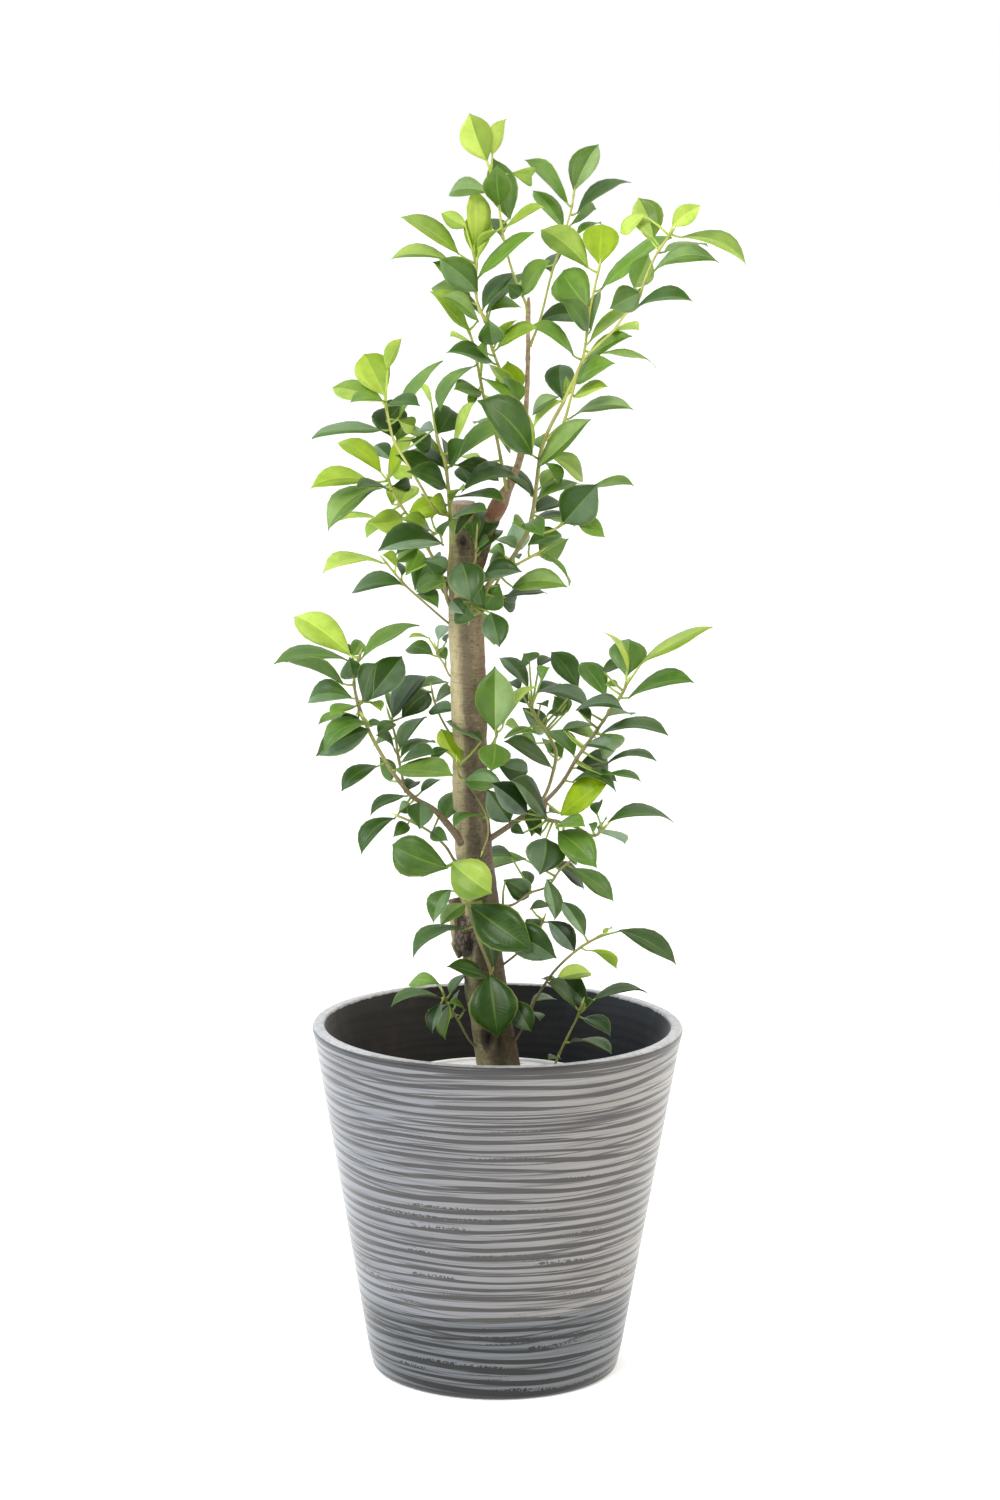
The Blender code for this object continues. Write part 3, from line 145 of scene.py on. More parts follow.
def keep(made, name, finish, smooth=True):
    """Turns a finished bmesh into a piece at the origin with one material."""
    for face in made.faces:
        face.smooth = smooth
    mesh = bpy.data.meshes.new(name)
    made.to_mesh(mesh)
    made.free()
    mesh.materials.append(finish)
    piece = bpy.data.objects.new(name, mesh)
    bpy.context.scene.collection.objects.link(piece)
    return piece


def finish_of(name, roughness):
    """A new material: its node tree, its Principled shader and the coordinates that its marks follow."""
    made = bpy.data.materials.new(name)
    made.use_nodes = True
    shader = made.node_tree.nodes["Principled BSDF"]
    shader.inputs["Roughness"].default_value = roughness
    place = wire(made.node_tree, "ShaderNodeTexCoord").outputs["Object"]
    return made, made.node_tree, shader, place


# Cover pot: one tall tapered pot, cast and painted dark grey, then brushed round by hand with pale
# grey paint, so that uneven dark strokes are left. The rim is bare and paler, with painted reflection at its
# sides.
POT_HEIGHT = 0.285
POT_RIM_RADIUS = 0.150
POT_BASE_RADIUS = 0.101
POT_WALL = 0.0096
POT_FLOOR = 0.014
LIP_ROUND = 0.0032
FOOT_ROUND = 0.0045
POT_STEPS = 192
WALL_STEPS = 24
INNER_STEPS = 16
INNER_LIP_ROUND = 0.0014
INNER_FOOT_ROUND = 0.004

pot_slope = (POT_RIM_RADIUS - POT_BASE_RADIUS) / POT_HEIGHT
inner_low = POT_BASE_RADIUS + pot_slope * POT_FLOOR - POT_WALL


def rounded(centre, radius, start, end, count):
    """Points of a quarter round in the profile's plane, from one angle in degrees to another."""
    turns = [math.radians(start + (end - start) * k / count) for k in range(count + 1)]
    return [(centre[0] + radius * math.cos(t), centre[1] + radius * math.sin(t)) for t in turns]


pot_line = [(0, 0), (POT_BASE_RADIUS * 0.5, 0)]
pot_line += rounded((POT_BASE_RADIUS - FOOT_ROUND, FOOT_ROUND), FOOT_ROUND, -90, -9, 5)
for k in range(1, WALL_STEPS):
    height = FOOT_ROUND * 2 + (POT_HEIGHT - LIP_ROUND * 2 - FOOT_ROUND * 2) * k / WALL_STEPS
    pot_line.append((POT_BASE_RADIUS + pot_slope * height, height))
pot_line += rounded((POT_RIM_RADIUS - LIP_ROUND, POT_HEIGHT - LIP_ROUND), LIP_ROUND, -5, 90, 6)
inner_edge = POT_RIM_RADIUS - POT_WALL
inner_top = POT_HEIGHT - INNER_LIP_ROUND
pot_line += rounded((inner_edge + INNER_LIP_ROUND, inner_top), INNER_LIP_ROUND, 90, 175, 4)
for k in range(1, INNER_STEPS):
    share = k / INNER_STEPS
    radius = inner_edge + (inner_low - inner_edge) * share
    pot_line.append((radius, inner_top + (POT_FLOOR - POT_HEIGHT) * share))
inner_foot = (inner_low - INNER_FOOT_ROUND, POT_FLOOR + INNER_FOOT_ROUND)
pot_line += rounded(inner_foot, INNER_FOOT_ROUND, -10, -90, 4)
pot_line += [(inner_low * 0.5, POT_FLOOR), (0, POT_FLOOR)]


def turned(line, steps):
    """A closed body spun round the pot's axis from a profile of radius and height."""
    made = bmesh.new()
    points = [made.verts.new((radius, 0, height)) for radius, height in line]
    edges = [made.edges.new(pair) for pair in zip(points, points[1:])]
    bmesh.ops.spin(
        made, geom=points + edges, cent=(0, 0, 0), axis=(0, 0, 1),
        angle=2 * math.pi, steps=steps, use_merge=True,
    )
    bmesh.ops.remove_doubles(made, verts=made.verts, dist=1e-6)
    bmesh.ops.recalc_face_normals(made, faces=made.faces)
    return made


pot_finish, tree, shader, place = finish_of("brushed_grey_paint", 0.42)
sidelong, backward, height = wire(tree, "ShaderNodeSeparateXYZ", {0: place}).outputs


def step_of(a, b, operation):
    """Two values joined by one step of arithmetic."""
    return wire(tree, "ShaderNodeMath", {0: a, 1: b}, operation=operation).outputs[0]


def plus(a, b):
    return step_of(a, b, "ADD")


def less(a, b):
    return step_of(a, b, "SUBTRACT")


def times(a, b):
    return step_of(a, b, "MULTIPLY")


def unsigned(value):
    return step_of(value, 0.0, "ABSOLUTE")


def sway(cloudy, reach):
    """Noise turned into a value that goes as far to either side of nothing."""
    return times(less(cloudy, 0.5), reach)


def link(**values):
    """Joins values to the inputs of the shader, their names in small letters with _ for a space."""
    for name, value in values.items():
        tree.links.new(value, shader.inputs[name.replace("_", " ").title()])


def relieved(height, distance, strength, **settings):
    """The normal of a surface with fine relief."""
    inputs = {"Height": height, "Distance": distance, "Strength": strength}
    return wire(tree, "ShaderNodeBump", inputs, **settings).outputs[0]


def band(value, low, high, start=0.0, end=1.0):
    """A soft step from start to end as the value goes from low to high."""
    return wire(
        tree, "ShaderNodeMapRange",
        {"Value": value, "From Min": low, "From Max": high, "To Min": start, "To Max": end},
        interpolation_type="SMOOTHSTEP",
    ).outputs[0]


def blend(factor, a, b, kind="MIX"):
    """Two colours mixed by a factor."""
    mixer = wire(tree, "ShaderNodeMix", {"Factor": factor, "A": a, "B": b}, data_type="RGBA", blend_type=kind)
    return mixer.outputs["Result"]


def cloud(scale, detail=3.0, stretch=(1, 1, 1), shift=0.0, roughness=0.5):
    """Noise on the object's own coordinates, about 0.5 in the middle."""
    where = place
    if stretch != (1, 1, 1) or shift:
        moved = {"Vector": place, "Location": (0, 0, shift), "Scale": stretch}
        where = wire(tree, "ShaderNodeMapping", moved).outputs[0]
    inputs = {"Vector": where, "Scale": scale, "Detail": detail, "Roughness": roughness}
    return wire(tree, "ShaderNodeTexNoise", inputs).outputs["Fac"]


def strokes(pitch, wander, shift, wide, vary, jag):
    """Brush gaps that run round the pot: one to each pitch of height, wandering, and tapering to nothing."""
    drift = cloud(1.0, 1.0, (4.2, 4.2, 13), shift)
    phase = plus(plus(times(height, 1 / pitch), sway(drift, wander)), shift)
    whole = step_of(phase, 1.0, "FRACT")
    swell = cloud(1.0, 1.5, (6.5, 6.5, 0.75 / pitch), shift + 3.7)
    reach = plus(plus(sway(swell, vary), wide), jag)
    lower_edge = band(whole, 0.0, 0.05)
    upper_edge = band(less(reach, whole), 0.0, 0.07)
    return times(lower_edge, upper_edge)


# Crumbs of paint along the upper edges of the gaps, in patches
crumb = cloud(520.0, 2.0, (1, 1, 0.8))
patchy = band(cloud(1.0, 1.0, (11, 11, 60), 0.31), 0.53, 0.66)
patchy = times(patchy, band(height, 0.19, 0.14, 0.25, 1.0))
jag = times(times(band(crumb, 0.42, 0.58), 0.30), patchy)
fine = cloud(1.0, 2.0, (7, 7, 420), 7.7, 0.55)
hair = cloud(1.0, 1.0, (10, 10, 1500), 1.3)
wide_gaps = strokes(0.0081, 3.3, 0.13, 0.47, 1.00, jag)
thin_gaps = strokes(0.0057, 4.6, 4.61, 0.17, 1.10, times(jag, 0.5))
bare = step_of(wide_gaps, times(thin_gaps, 0.85), "MAXIMUM")
bare = times(bare, less(1.0, times(band(fine, 0.60, 0.66), 0.75)))
scratch = times(band(fine, 0.40, 0.35), 0.55)
bare = step_of(bare, scratch, "MAXIMUM")
# Just under the lip a gap runs all round
lip_gap = band(height, 0.2785, 0.2793)
bare = step_of(bare, times(lip_gap, 0.92), "MAXIMUM")
# The lowest part is darker
low_drift = sway(cloud(1.0, 1.0, (5, 5, 60), 2.2), 0.03)
low_part = band(plus(height, low_drift), 0.068, 0.073, 1.0, 0.0)
# Painted light: the paint is tinted cool toward the left and warm toward the right
side_light_tint = band(sidelong, -0.15, 0.15)
dull = blend(side_light_tint, (0.132, 0.141, 0.162, 1), (0.178, 0.165, 0.151, 1))
clean = blend(side_light_tint, (0.186, 0.199, 0.229, 1), (0.253, 0.236, 0.217, 1))
bright = blend(side_light_tint, (0.236, 0.252, 0.286, 1), (0.318, 0.298, 0.276, 1))
pale = blend(band(fine, 0.38, 0.62), dull, clean)
pale = blend(times(band(hair, 0.40, 0.62), 0.45), pale, bright)
pale_low = blend(band(fine, 0.38, 0.62), (0.078, 0.088, 0.098, 1), (0.135, 0.150, 0.165, 1))
under = blend(band(hair, 0.35, 0.65), (0.046, 0.044, 0.043, 1), (0.066, 0.063, 0.062, 1))
under = blend(low_part, under, (0.0110, 0.0110, 0.0106, 1))
under = blend(times(lip_gap, 0.5), under, (0.020, 0.019, 0.019, 1))
outside = blend(bare, blend(low_part, pale, pale_low), under)
# The foot is left in the dark coat
outside = blend(band(height, 0.0062, 0.0044), outside, (0.012, 0.012, 0.012, 1))
# Inside the pot: one dark coat with faint marks down the wall; painted light tints it brown on the left and
# blue on the right
girth = wire(tree, "ShaderNodeCombineXYZ", {0: sidelong, 1: backward})
radius = wire(tree, "ShaderNodeVectorMath", {0: girth.outputs[0]}, operation="LENGTH").outputs["Value"]
wall_radius = plus(times(height, pot_slope), POT_BASE_RADIUS)
depth_in = less(wall_radius, radius)
inward = band(depth_in, 0.0055, 0.0080)
runs = cloud(1.0, 4.0, (75, 75, 26), 0.9, 0.6)
blotch = cloud(30.0, 5.0, shift=1.1, roughness=0.6)
inside_light_tint = band(sidelong, -0.10, 0.12)
inside_paint = blend(inside_light_tint, (0.0135, 0.0112, 0.0098, 1), (0.0100, 0.0112, 0.0140, 1))
faint = blend(inside_light_tint, (0.030, 0.023, 0.019, 1), (0.020, 0.023, 0.029, 1))
inside_paint = blend(times(band(runs, 0.44, 0.72), band(blotch, 0.40, 0.66)), inside_paint, faint)
# The lip's flat top is worn pale, and a painted reflection makes it paler and wider toward the left and
# right; its edges are chipped
chip = cloud(210.0, 3.0, shift=0.7)
chipped = plus(height, sway(chip, 0.0022))
reflecting_flank = band(unsigned(sidelong), 0.05, 0.13)
lip_top = band(plus(chipped, times(reflecting_flank, 0.0012)), POT_HEIGHT - 0.0010, POT_HEIGHT - 0.0004)
lip_low = blend(reflecting_flank, (0.200, 0.199, 0.201, 1), (0.330, 0.332, 0.340, 1))
lip_high = blend(reflecting_flank, (0.300, 0.299, 0.302, 1), (0.450, 0.452, 0.464, 1))
lip_paint = blend(band(chip, 0.35, 0.66), lip_low, lip_high)
colour = blend(inward, outside, inside_paint)
lip_flat = times(band(plus(depth_in, times(reflecting_flank, 0.0016)), 0.0014, 0.0024), band(depth_in, 0.0101, 0.0094))
colour = blend(times(lip_top, lip_flat), colour, lip_paint)
link(base_color=colour)
rough = less(band(fine, 0.3, 0.7, 0.40, 0.54), times(bare, 0.08))
link(roughness=plus(rough, times(inward, 0.10)))
relief = less(times(times(hair, less(1.0, inward)), 0.12), times(times(bare, less(1.0, inward)), 0.45))
relief = plus(relief, times(plus(crumb, times(chip, lip_top)), 0.10))
relief = plus(relief, times(times(runs, inward), 0.6))
link(normal=relieved(relief, 0.0006, 0.55))
glaze = times(less(1.0, times(bare, 0.78)), 0.58)
link(coat_weight=times(glaze, less(1.0, times(inward, 0.6))))
shader.inputs["Specular IOR Level"].default_value = 0.36
shader.inputs["Coat Roughness"].default_value = 0.32
shader.inputs["Sheen Weight"].default_value = 0.42
shader.inputs["Sheen Roughness"].default_value = 0.30

cover_pot = keep(turned(pot_line, POT_STEPS), "brushed_cover_pot", pot_finish)
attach(cover_pot, "root")
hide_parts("cover_pot")


# Nursery pot: a thin white plastic pot with a turned-out rim band and four drain holes, which stands
# loose on the cover pot's floor and holds the roots.
NURSERY_TOP = 0.2345
NURSERY_LOW = POT_FLOOR + 0.0003
NURSERY_RIM_RADIUS = 0.090
NURSERY_RIM_DEPTH = 0.016
NURSERY_BASE_RADIUS = 0.066
NURSERY_WALL = 0.0022
RIM_BAND = 0.0018
DRAIN_RADIUS = 0.006
DRAIN_RING = 0.040

wall_top = NURSERY_RIM_RADIUS - RIM_BAND
under_band = NURSERY_TOP - NURSERY_RIM_DEPTH
wall_slope = (wall_top - NURSERY_BASE_RADIUS) / (NURSERY_TOP - NURSERY_LOW)
band_wall = NURSERY_BASE_RADIUS + wall_slope * (under_band - NURSERY_LOW)
nursery_line = [(0, NURSERY_LOW), (NURSERY_BASE_RADIUS - 0.003, NURSERY_LOW)]
nursery_line += [(NURSERY_BASE_RADIUS, NURSERY_LOW + 0.002)]
nursery_line += [(band_wall, under_band), (band_wall + 0.0024, under_band + 0.0004)]
nursery_line += rounded((NURSERY_RIM_RADIUS - 0.0012, NURSERY_TOP - 0.0012), 0.0012, 0, 180, 8)
nursery_line += [(NURSERY_RIM_RADIUS - 0.0036, NURSERY_TOP - 0.008)]
floor_top = NURSERY_LOW + NURSERY_WALL
nursery_line += [(NURSERY_BASE_RADIUS - NURSERY_WALL, floor_top), (0, floor_top)]

plastic, tree, shader, place = finish_of("nursery_white_plastic", 0.34)
smudge = cloud(35.0, 4.0)
dust = cloud(420.0, 2.0)
plastic_colour = blend(band(smudge, 0.3, 0.7), (0.82, 0.82, 0.81, 1), (0.75, 0.745, 0.73, 1))
link(base_color=plastic_colour)
link(roughness=band(smudge, 0.3, 0.7, 0.30, 0.44))
link(normal=relieved(dust, 0.0002, 0.3))

nursery_pot = keep(turned(nursery_line, 96), "white_nursery_pot", plastic)
drills = bmesh.new()
for k in range(4):
    turn = math.pi / 4 + math.pi / 2 * k
    spot = Vector((DRAIN_RING * math.cos(turn), DRAIN_RING * math.sin(turn), NURSERY_LOW))
    bmesh.ops.create_cone(
        drills, cap_ends=True, segments=24, radius1=DRAIN_RADIUS, radius2=DRAIN_RADIUS, depth=0.02,
        matrix=Matrix.Translation(spot),
    )
drill = keep(drills, "drain_drill", plastic)


def finished(piece):
    """Applies a piece's modifiers to its mesh."""
    ready = piece.evaluated_get(bpy.context.evaluated_depsgraph_get())
    mesh = bpy.data.meshes.new_from_object(ready)
    piece.modifiers.clear()
    piece.data = mesh


boring = nursery_pot.modifiers.new("drains", "BOOLEAN")
boring.operation, boring.solver, boring.object = "DIFFERENCE", "MANIFOLD", drill
finished(nursery_pot)
bpy.data.objects.remove(drill)
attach(nursery_pot, "root")
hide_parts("nursery_pot")

# Soil: a moist dark potting mix that fills the nursery pot up to the dressing. Its solid is right as
# it is, and takes a crumbly dark finish.
soil_finish, tree, shader, place = finish_of("potting_mix", 0.95)
clods = wire(tree, "ShaderNodeTexVoronoi", {"Vector": place, "Scale": 260.0}).outputs["Distance"]
fibre = cloud(120.0, 6.0)
soil_colour = blend(band(fibre, 0.35, 0.65), (0.022, 0.014, 0.009, 1), (0.085, 0.055, 0.034, 1))
link(base_color=soil_colour)
link(roughness=band(fibre, 0.3, 0.7, 0.85, 1.0))
link(normal=relieved(plus(clods, fibre), 0.003, 0.8))
soil_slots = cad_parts["soil"].data.materials
for k in range(len(soil_slots)):
    soil_slots[k] = soil_finish

# Top dressing: a thin bed of fine white grit strewn over the soil, a little heaped against the trunk,
# with coarser crumbs lying on it.
DRESSING_TOP = 0.2325
DRESSING_LOW = 0.2275
DRESSING_RADIUS = 0.0849
GRIT_EDGE = 0.001
GRIT_RINGS = 22
CRUMBS = 420

grit_line = [(0, DRESSING_LOW), (DRESSING_RADIUS - GRIT_EDGE, DRESSING_LOW)]
grit_line += [(DRESSING_RADIUS, DRESSING_LOW + GRIT_EDGE), (DRESSING_RADIUS, DRESSING_TOP - GRIT_EDGE)]
for k in range(GRIT_RINGS):
    grit_line.append((DRESSING_RADIUS * (1 - k / GRIT_RINGS) - 0.0004, DRESSING_TOP))
grit_line.append((0, DRESSING_TOP))
grit = turned(grit_line, 96)
for vert in grit.verts:
    if vert.co.z > DRESSING_TOP - 0.0005:
        vert.co.z += 0.0011 * noise.noise(vert.co * 60) + 0.0006 * noise.noise(vert.co * 240)
draw = random.Random(11)
for k in range(CRUMBS):
    turn, reach = draw.uniform(0, 2 * math.pi), DRESSING_RADIUS * 0.97 * math.sqrt(draw.random())
    size = draw.uniform(0.0006, 0.0016)
    lying = Matrix.Translation((reach * math.cos(turn), reach * math.sin(turn), DRESSING_TOP + size * 0.2))
    tumble = draw.uniform(0, 6.3)
    lying @= Matrix.Rotation(tumble, 4, Vector((draw.random(), draw.random(), 0.3)).normalized())
    lying @= Matrix.Diagonal((1, draw.uniform(0.6, 1), draw.uniform(0.5, 0.9), 1))
    bmesh.ops.create_icosphere(grit, subdivisions=1, radius=size, matrix=lying)
grit_finish, tree, shader, place = finish_of("white_grit", 0.85)
grains = wire(tree, "ShaderNodeTexVoronoi", {"Vector": place, "Scale": 900.0}).outputs["Distance"]
stain = cloud(40.0, 5.0)
grit_colour = blend(band(stain, 0.35, 0.75), (0.80, 0.79, 0.78, 1), (0.62, 0.60, 0.57, 1))
# Painted shade: darker in the gaps between grains
grit_colour = blend(band(grains, 0.0, 0.9, 0.0, 0.25), grit_colour, (0.45, 0.43, 0.40, 1))
link(base_color=grit_colour)
link(roughness=band(stain, 0.3, 0.7, 0.78, 0.95))
link(normal=relieved(grains, 0.0008, 0.6, invert=True))
top_dressing = keep(grit, "white_top_dressing", grit_finish)
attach(top_dressing, "root")
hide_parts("top_dressing")


# Trunk: a living banyan stem of grey-brown bark, ringed with old leaf scars, greener and mossy low
# down. Its top was sawn off, one limb leads on beside the cut, and a dead stub stands low on the left.
# One unit of the camera's view in metres at the trunk, and the lens's reach in such units. The view is
# 1000 units wide and 1500 high, so the places of wood and leaves below are in these units.
UNIT = 0.000805
EYE_REACH = 3820.0
VIEW_MIDDLE = (500, 750)


def at(x, y, z=0.0):
    """The point in space for a place in the camera's view, z units in front of the trunk's plane."""
    x, y = x - VIEW_MIDDLE[0], y - VIEW_MIDDLE[1]
    across = x * math.cos(EYE_ROLL) + y * math.sin(EYE_ROLL)
    down = y * math.cos(EYE_ROLL) - x * math.sin(EYE_ROLL)
    forward = Vector((0, math.cos(EYE_DOWN), -math.sin(EYE_DOWN)))
    upward = Vector((0, math.sin(EYE_DOWN), math.cos(EYE_DOWN)))
    ray = forward + Vector((1, 0, 0)) * (across / EYE_REACH) - upward * (down / EYE_REACH)
    return EYE + ray * ((-z * UNIT - EYE.y) / ray.y)


class Curve:
    """A smooth curve through points, which passes its nth point at n."""

    def __init__(self, points):
        self.points = [Vector(p) for p in points]
        gaps = [max((b - a).length, 1e-6) for a, b in zip(self.points, self.points[1:])]
        last = len(self.points) - 1
        self.gaps = gaps
        self.pulls = []
        for k in range(last + 1):
            low, high = max(k - 1, 0), min(k + 1, last)
            self.pulls.append((self.points[high] - self.points[low]) / sum(gaps[low:high]))

    def spot(self, n):
        k = min(int(n), len(self.gaps) - 1)
        t, gap = n - k, self.gaps[k]
        near, far = self.points[k], self.points[k + 1]
        return (
            near * (2 * t**3 - 3 * t**2 + 1) + self.pulls[k] * gap * (t**3 - 2 * t**2 + t)
            + far * (3 * t**2 - 2 * t**3) + self.pulls[k + 1] * gap * (t**3 - t**2)
        )

    def along(self, n):
        last = len(self.gaps)
        return (self.spot(min(n + 0.05, last)) - self.spot(max(n - 0.05, 0))).normalized()


def stem(made, centres, radii, sides, shape=None, domed=False):
    """Extrudes a ring along the centres. shape(ring, turn) scales the radius at a place on the bark."""
    first = bmesh.ops.create_circle(made, segments=sides, radius=1)["verts"]
    ring = first
    side = None
    every = []
    for k, centre in enumerate(centres):
        along = (centres[min(k + 1, len(centres) - 1)] - centres[max(k - 1, 0)]).normalized()
        if side is None:
            side = along.orthogonal().normalized()
        side = (side - along * side.dot(along)).normalized()
        other = along.cross(side)
        if k:
            edges = [made.edges.get((ring[i], ring[(i + 1) % sides])) for i in range(sides)]
            grown = bmesh.ops.extrude_edge_only(made, edges=edges)["geom"]
            fresh = {v for v in grown if isinstance(v, bmesh.types.BMVert)}
            ring = [next(e.other_vert(v) for e in v.link_edges if e.other_vert(v) in fresh) for v in ring]
        for i, vert in enumerate(ring):
            turn = 2 * math.pi * i / sides
            reach = radii[k] * (shape(k, turn) if shape else 1)
            vert.co = centre + (side * math.cos(turn) + other * math.sin(turn)) * reach
        every.append(ring)
    made.faces.new(first[::-1])
    made.faces.new(ring)
    return every


# Places and radii along each limb, from its foot up
TRUNK_LINE = [
    (500, 1165, 0, 12), (500, 1130, 0, 19), (499, 1090, 0, 23), (498, 1062, 0, 22), (490, 1010, 0, 20.5),
    (483, 960, 0, 20.5), (481, 920, 0, 20), (478, 885, 0, 19), (474, 850, 0, 18.5), (471, 800, 0, 17.5),
    (470, 755, 0, 17.5), (469, 700, 0, 18), (467, 650, 0, 18), (466, 610, 0, 17.5), (464, 570, 0, 15),
    (463, 535, 0, 12.5), (463, 501, 0, 12),
]
LEADER_LINE = [
    (468, 592, -2, 8.5), (480, 556, -8, 7.5), (490, 524, -9, 7.5), (498, 507, -8, 8.0), (510, 484, -8, 5.0),
    (520, 458, -9, 3.7), (525, 425, -10, 2.9), (527, 390, -10, 2.6), (528, 345, -10, 2.5),
    (528, 312, -9, 2.6), (529, 297, -8, 2.0),
]
STUB_LINE = [(478, 952, 4, 14), (465, 938, 8, 12.5), (457, 916, 8, 8.5), (453, 899, 8, 5.5)]
SPUR_LINE = [(461, 957, 12, 4.0), (455, 949, 12, 2.2), (452, 942, 12, 1.6)]
BARK_STEP = 0.0022
KNIT_SIZE = 0.0013
DEEP_DENT = -0.002
CUT_BAND = 0.0012


def bark_stem(made, line, sides, rough):
    """One woody limb through a line of places and radii, its girth uneven as bark is."""
    curve = Curve([at(x, y, z) for x, y, z, _ in line])
    steps, radii = [], []
    for k, gap in enumerate(curve.gaps):
        count = max(2, round(gap / BARK_STEP))
        for i in range(count):
            steps.append(k + i / count)
    steps.append(len(curve.gaps))
    for n in steps:
        k = min(int(n), len(line) - 2)
        t = n - k
        t = t * t * (3 - 2 * t)
        radii.append((line[k][3] * (1 - t) + line[k + 1][3] * t) * UNIT)
    centres = [curve.spot(n) for n in steps]

    def uneven(k, turn):
        place = centres[k] * 26 + Vector((math.cos(turn), math.sin(turn), 0)) * 0.6
        return 1 + rough * noise.noise(place) + rough * 0.5 * noise.noise(place * 3.1)

    stem(made, centres, radii, sides, uneven)


wood = bmesh.new()
bark_stem(wood, TRUNK_LINE, 40, 0.06)
bark_stem(wood, LEADER_LINE, 24, 0.05)
bark_stem(wood, STUB_LINE, 24, 0.10)
bark_stem(wood, SPUR_LINE, 12, 0.05)
bmesh.ops.recalc_face_normals(wood, faces=wood.faces)

bark, tree, shader, place = finish_of("banyan_bark", 0.75)
trunk = keep(wood, "banyan_trunk", bark)
knit = trunk.modifiers.new("knit", "REMESH")
knit.mode, knit.voxel_size = "VOXEL", KNIT_SIZE
finished(trunk)

# Knots, scars and rings are pressed into the knitted wood along its own outward direction
# Place, half width, half height and depth of each (a rise where the depth is positive)
DENTS = [
    ((489, 1040, 20), 0.0046, 0.0062, -0.0066), ((471, 946, 18), 0.0022, 0.0080, -0.0032),
    ((459, 924, 16), 0.0020, 0.0060, -0.0024),
    ((463, 541, 12), 0.0035, 0.0050, -0.0022), ((470, 1000, 16), 0.012, 0.016, 0.0020),
    ((497, 507, 2), 0.010, 0.009, 0.0016), ((478, 700, 14), 0.006, 0.010, 0.0012),
    ((458, 640, 12), 0.006, 0.008, 0.0010), ((484, 868, 14), 0.006, 0.008, 0.0012),
]
dents = [(at(*place), wide, tall, deep) for place, wide, tall, deep in DENTS]
shaped = bmesh.new()
shaped.from_mesh(trunk.data)
bmesh.ops.smooth_vert(
    shaped, verts=shaped.verts, factor=0.5, use_axis_x=True, use_axis_y=True, use_axis_z=True
)
shaped.normal_update()
sawn_top = at(463, 501)
moves = []
for vert in shaped.verts:
    p = vert.co
    lift = 0.00016 * noise.noise(Vector((p.x * 160, p.y * 160, p.z * 420)))
    lift += 0.00034 * noise.noise(Vector((p.x * 45, p.y * 45, p.z * 150)))
    lift += 0.00022 * math.sin(p.z * 430 + 5 * noise.noise(p * 18)) * noise.noise(p * 30)
    for centre, wide, tall, deep in dents:
        away = p - centre
        share = (away.x / wide) ** 2 + (away.y / (wide * 2)) ** 2 + (away.z / tall) ** 2
        if share < 6:
            lift += deep * math.exp(-share)
    if p.z > sawn_top.z - CUT_BAND and abs(p.x - sawn_top.x) < 0.02:
        lift *= 0.25
    moves.append(vert.normal * lift)
for vert, move in zip(shaped.verts, moves):
    vert.co += move
shaped.to_mesh(trunk.data)
shaped.free()
for face in trunk.data.polygons:
    face.use_smooth = True
trunk.data.materials.clear()
trunk.data.materials.append(bark)

height = wire(tree, "ShaderNodeSeparateXYZ", {0: place}).outputs["Z"]
outward = wire(tree, "ShaderNodeTexCoord").outputs["Normal"]
facing = wire(tree, "ShaderNodeSeparateXYZ", {0: outward}).outputs["X"]
patch = cloud(26.0, 5.0, roughness=0.6)
speck = cloud(330.0, 4.0, roughness=0.65)
rings = cloud(1.0, 3.0, (75, 75, 600), roughness=0.65)
grooves = cloud(1.0, 3.0, (420, 420, 60), roughness=0.6)
pores = wire(tree, "ShaderNodeMapping", {"Vector": place, "Scale": (210, 210, 380)})
pores = wire(tree, "ShaderNodeTexVoronoi", {"Vector": pores.outputs[0], "Scale": 1.0}).outputs["Distance"]
pore = band(pores, 0.27, 0.14)
grey = blend(band(patch, 0.36, 0.62), (0.125, 0.096, 0.050, 1), (0.230, 0.188, 0.102, 1))
grey = blend(times(band(speck, 0.42, 0.66), 0.65), grey, (0.320, 0.270, 0.160, 1))
turned_to = plus(facing, sway(patch, 0.5))
# Painted light: the side turned to the left is lighter and yellower
lit_side = band(turned_to, -0.15, -0.72)
grey = blend(times(lit_side, 0.85), grey, (0.500, 0.430, 0.235, 1))
moss = band(plus(height, sway(patch, 0.45)), 0.46, 0.26)
mossy = blend(band(speck, 0.38, 0.62), (0.062, 0.056, 0.016, 1), (0.150, 0.128, 0.045, 1))
bark_colour = blend(times(moss, 0.75), grey, mossy)
# Painted shade: the middle, turned neither left nor right, is darkened, most of all low down, and the side
# turned to the right is painted darker and redder
painted_shade = band(unsigned(plus(turned_to, -0.05)), 0.55, 0.12)
painted_shade = times(painted_shade, band(height, 0.62, 0.30, 0.68, 1.0))
shaded_bark = blend(1.0, bark_colour, (0.40, 0.36, 0.34, 1), "MULTIPLY")
bark_colour = blend(painted_shade, bark_colour, shaded_bark)
shaded_red_side = band(turned_to, 0.30, 0.85)
shade_red_tone = blend(band(height, 0.38, 0.60), (0.072, 0.040, 0.020, 1), (0.175, 0.108, 0.058, 1))
bark_colour = blend(times(shaded_red_side, 0.72), bark_colour, shade_red_tone)
bark_colour = blend(times(band(rings, 0.52, 0.64), 0.38), bark_colour, (0.060, 0.038, 0.022, 1))
bark_colour = blend(times(band(rings, 0.44, 0.34), 0.10), bark_colour, (0.420, 0.350, 0.200, 1))
bark_colour = blend(times(band(grooves, 0.56, 0.68), 0.28), bark_colour, (0.080, 0.052, 0.033, 1))
# Painted shade: the pores show darker on the side turned to the right
pore_shade = band(turned_to, -0.5, 0.2, 0.30, 0.80)
bark_colour = blend(times(pore, pore_shade), bark_colour, (0.042, 0.026, 0.018, 1))


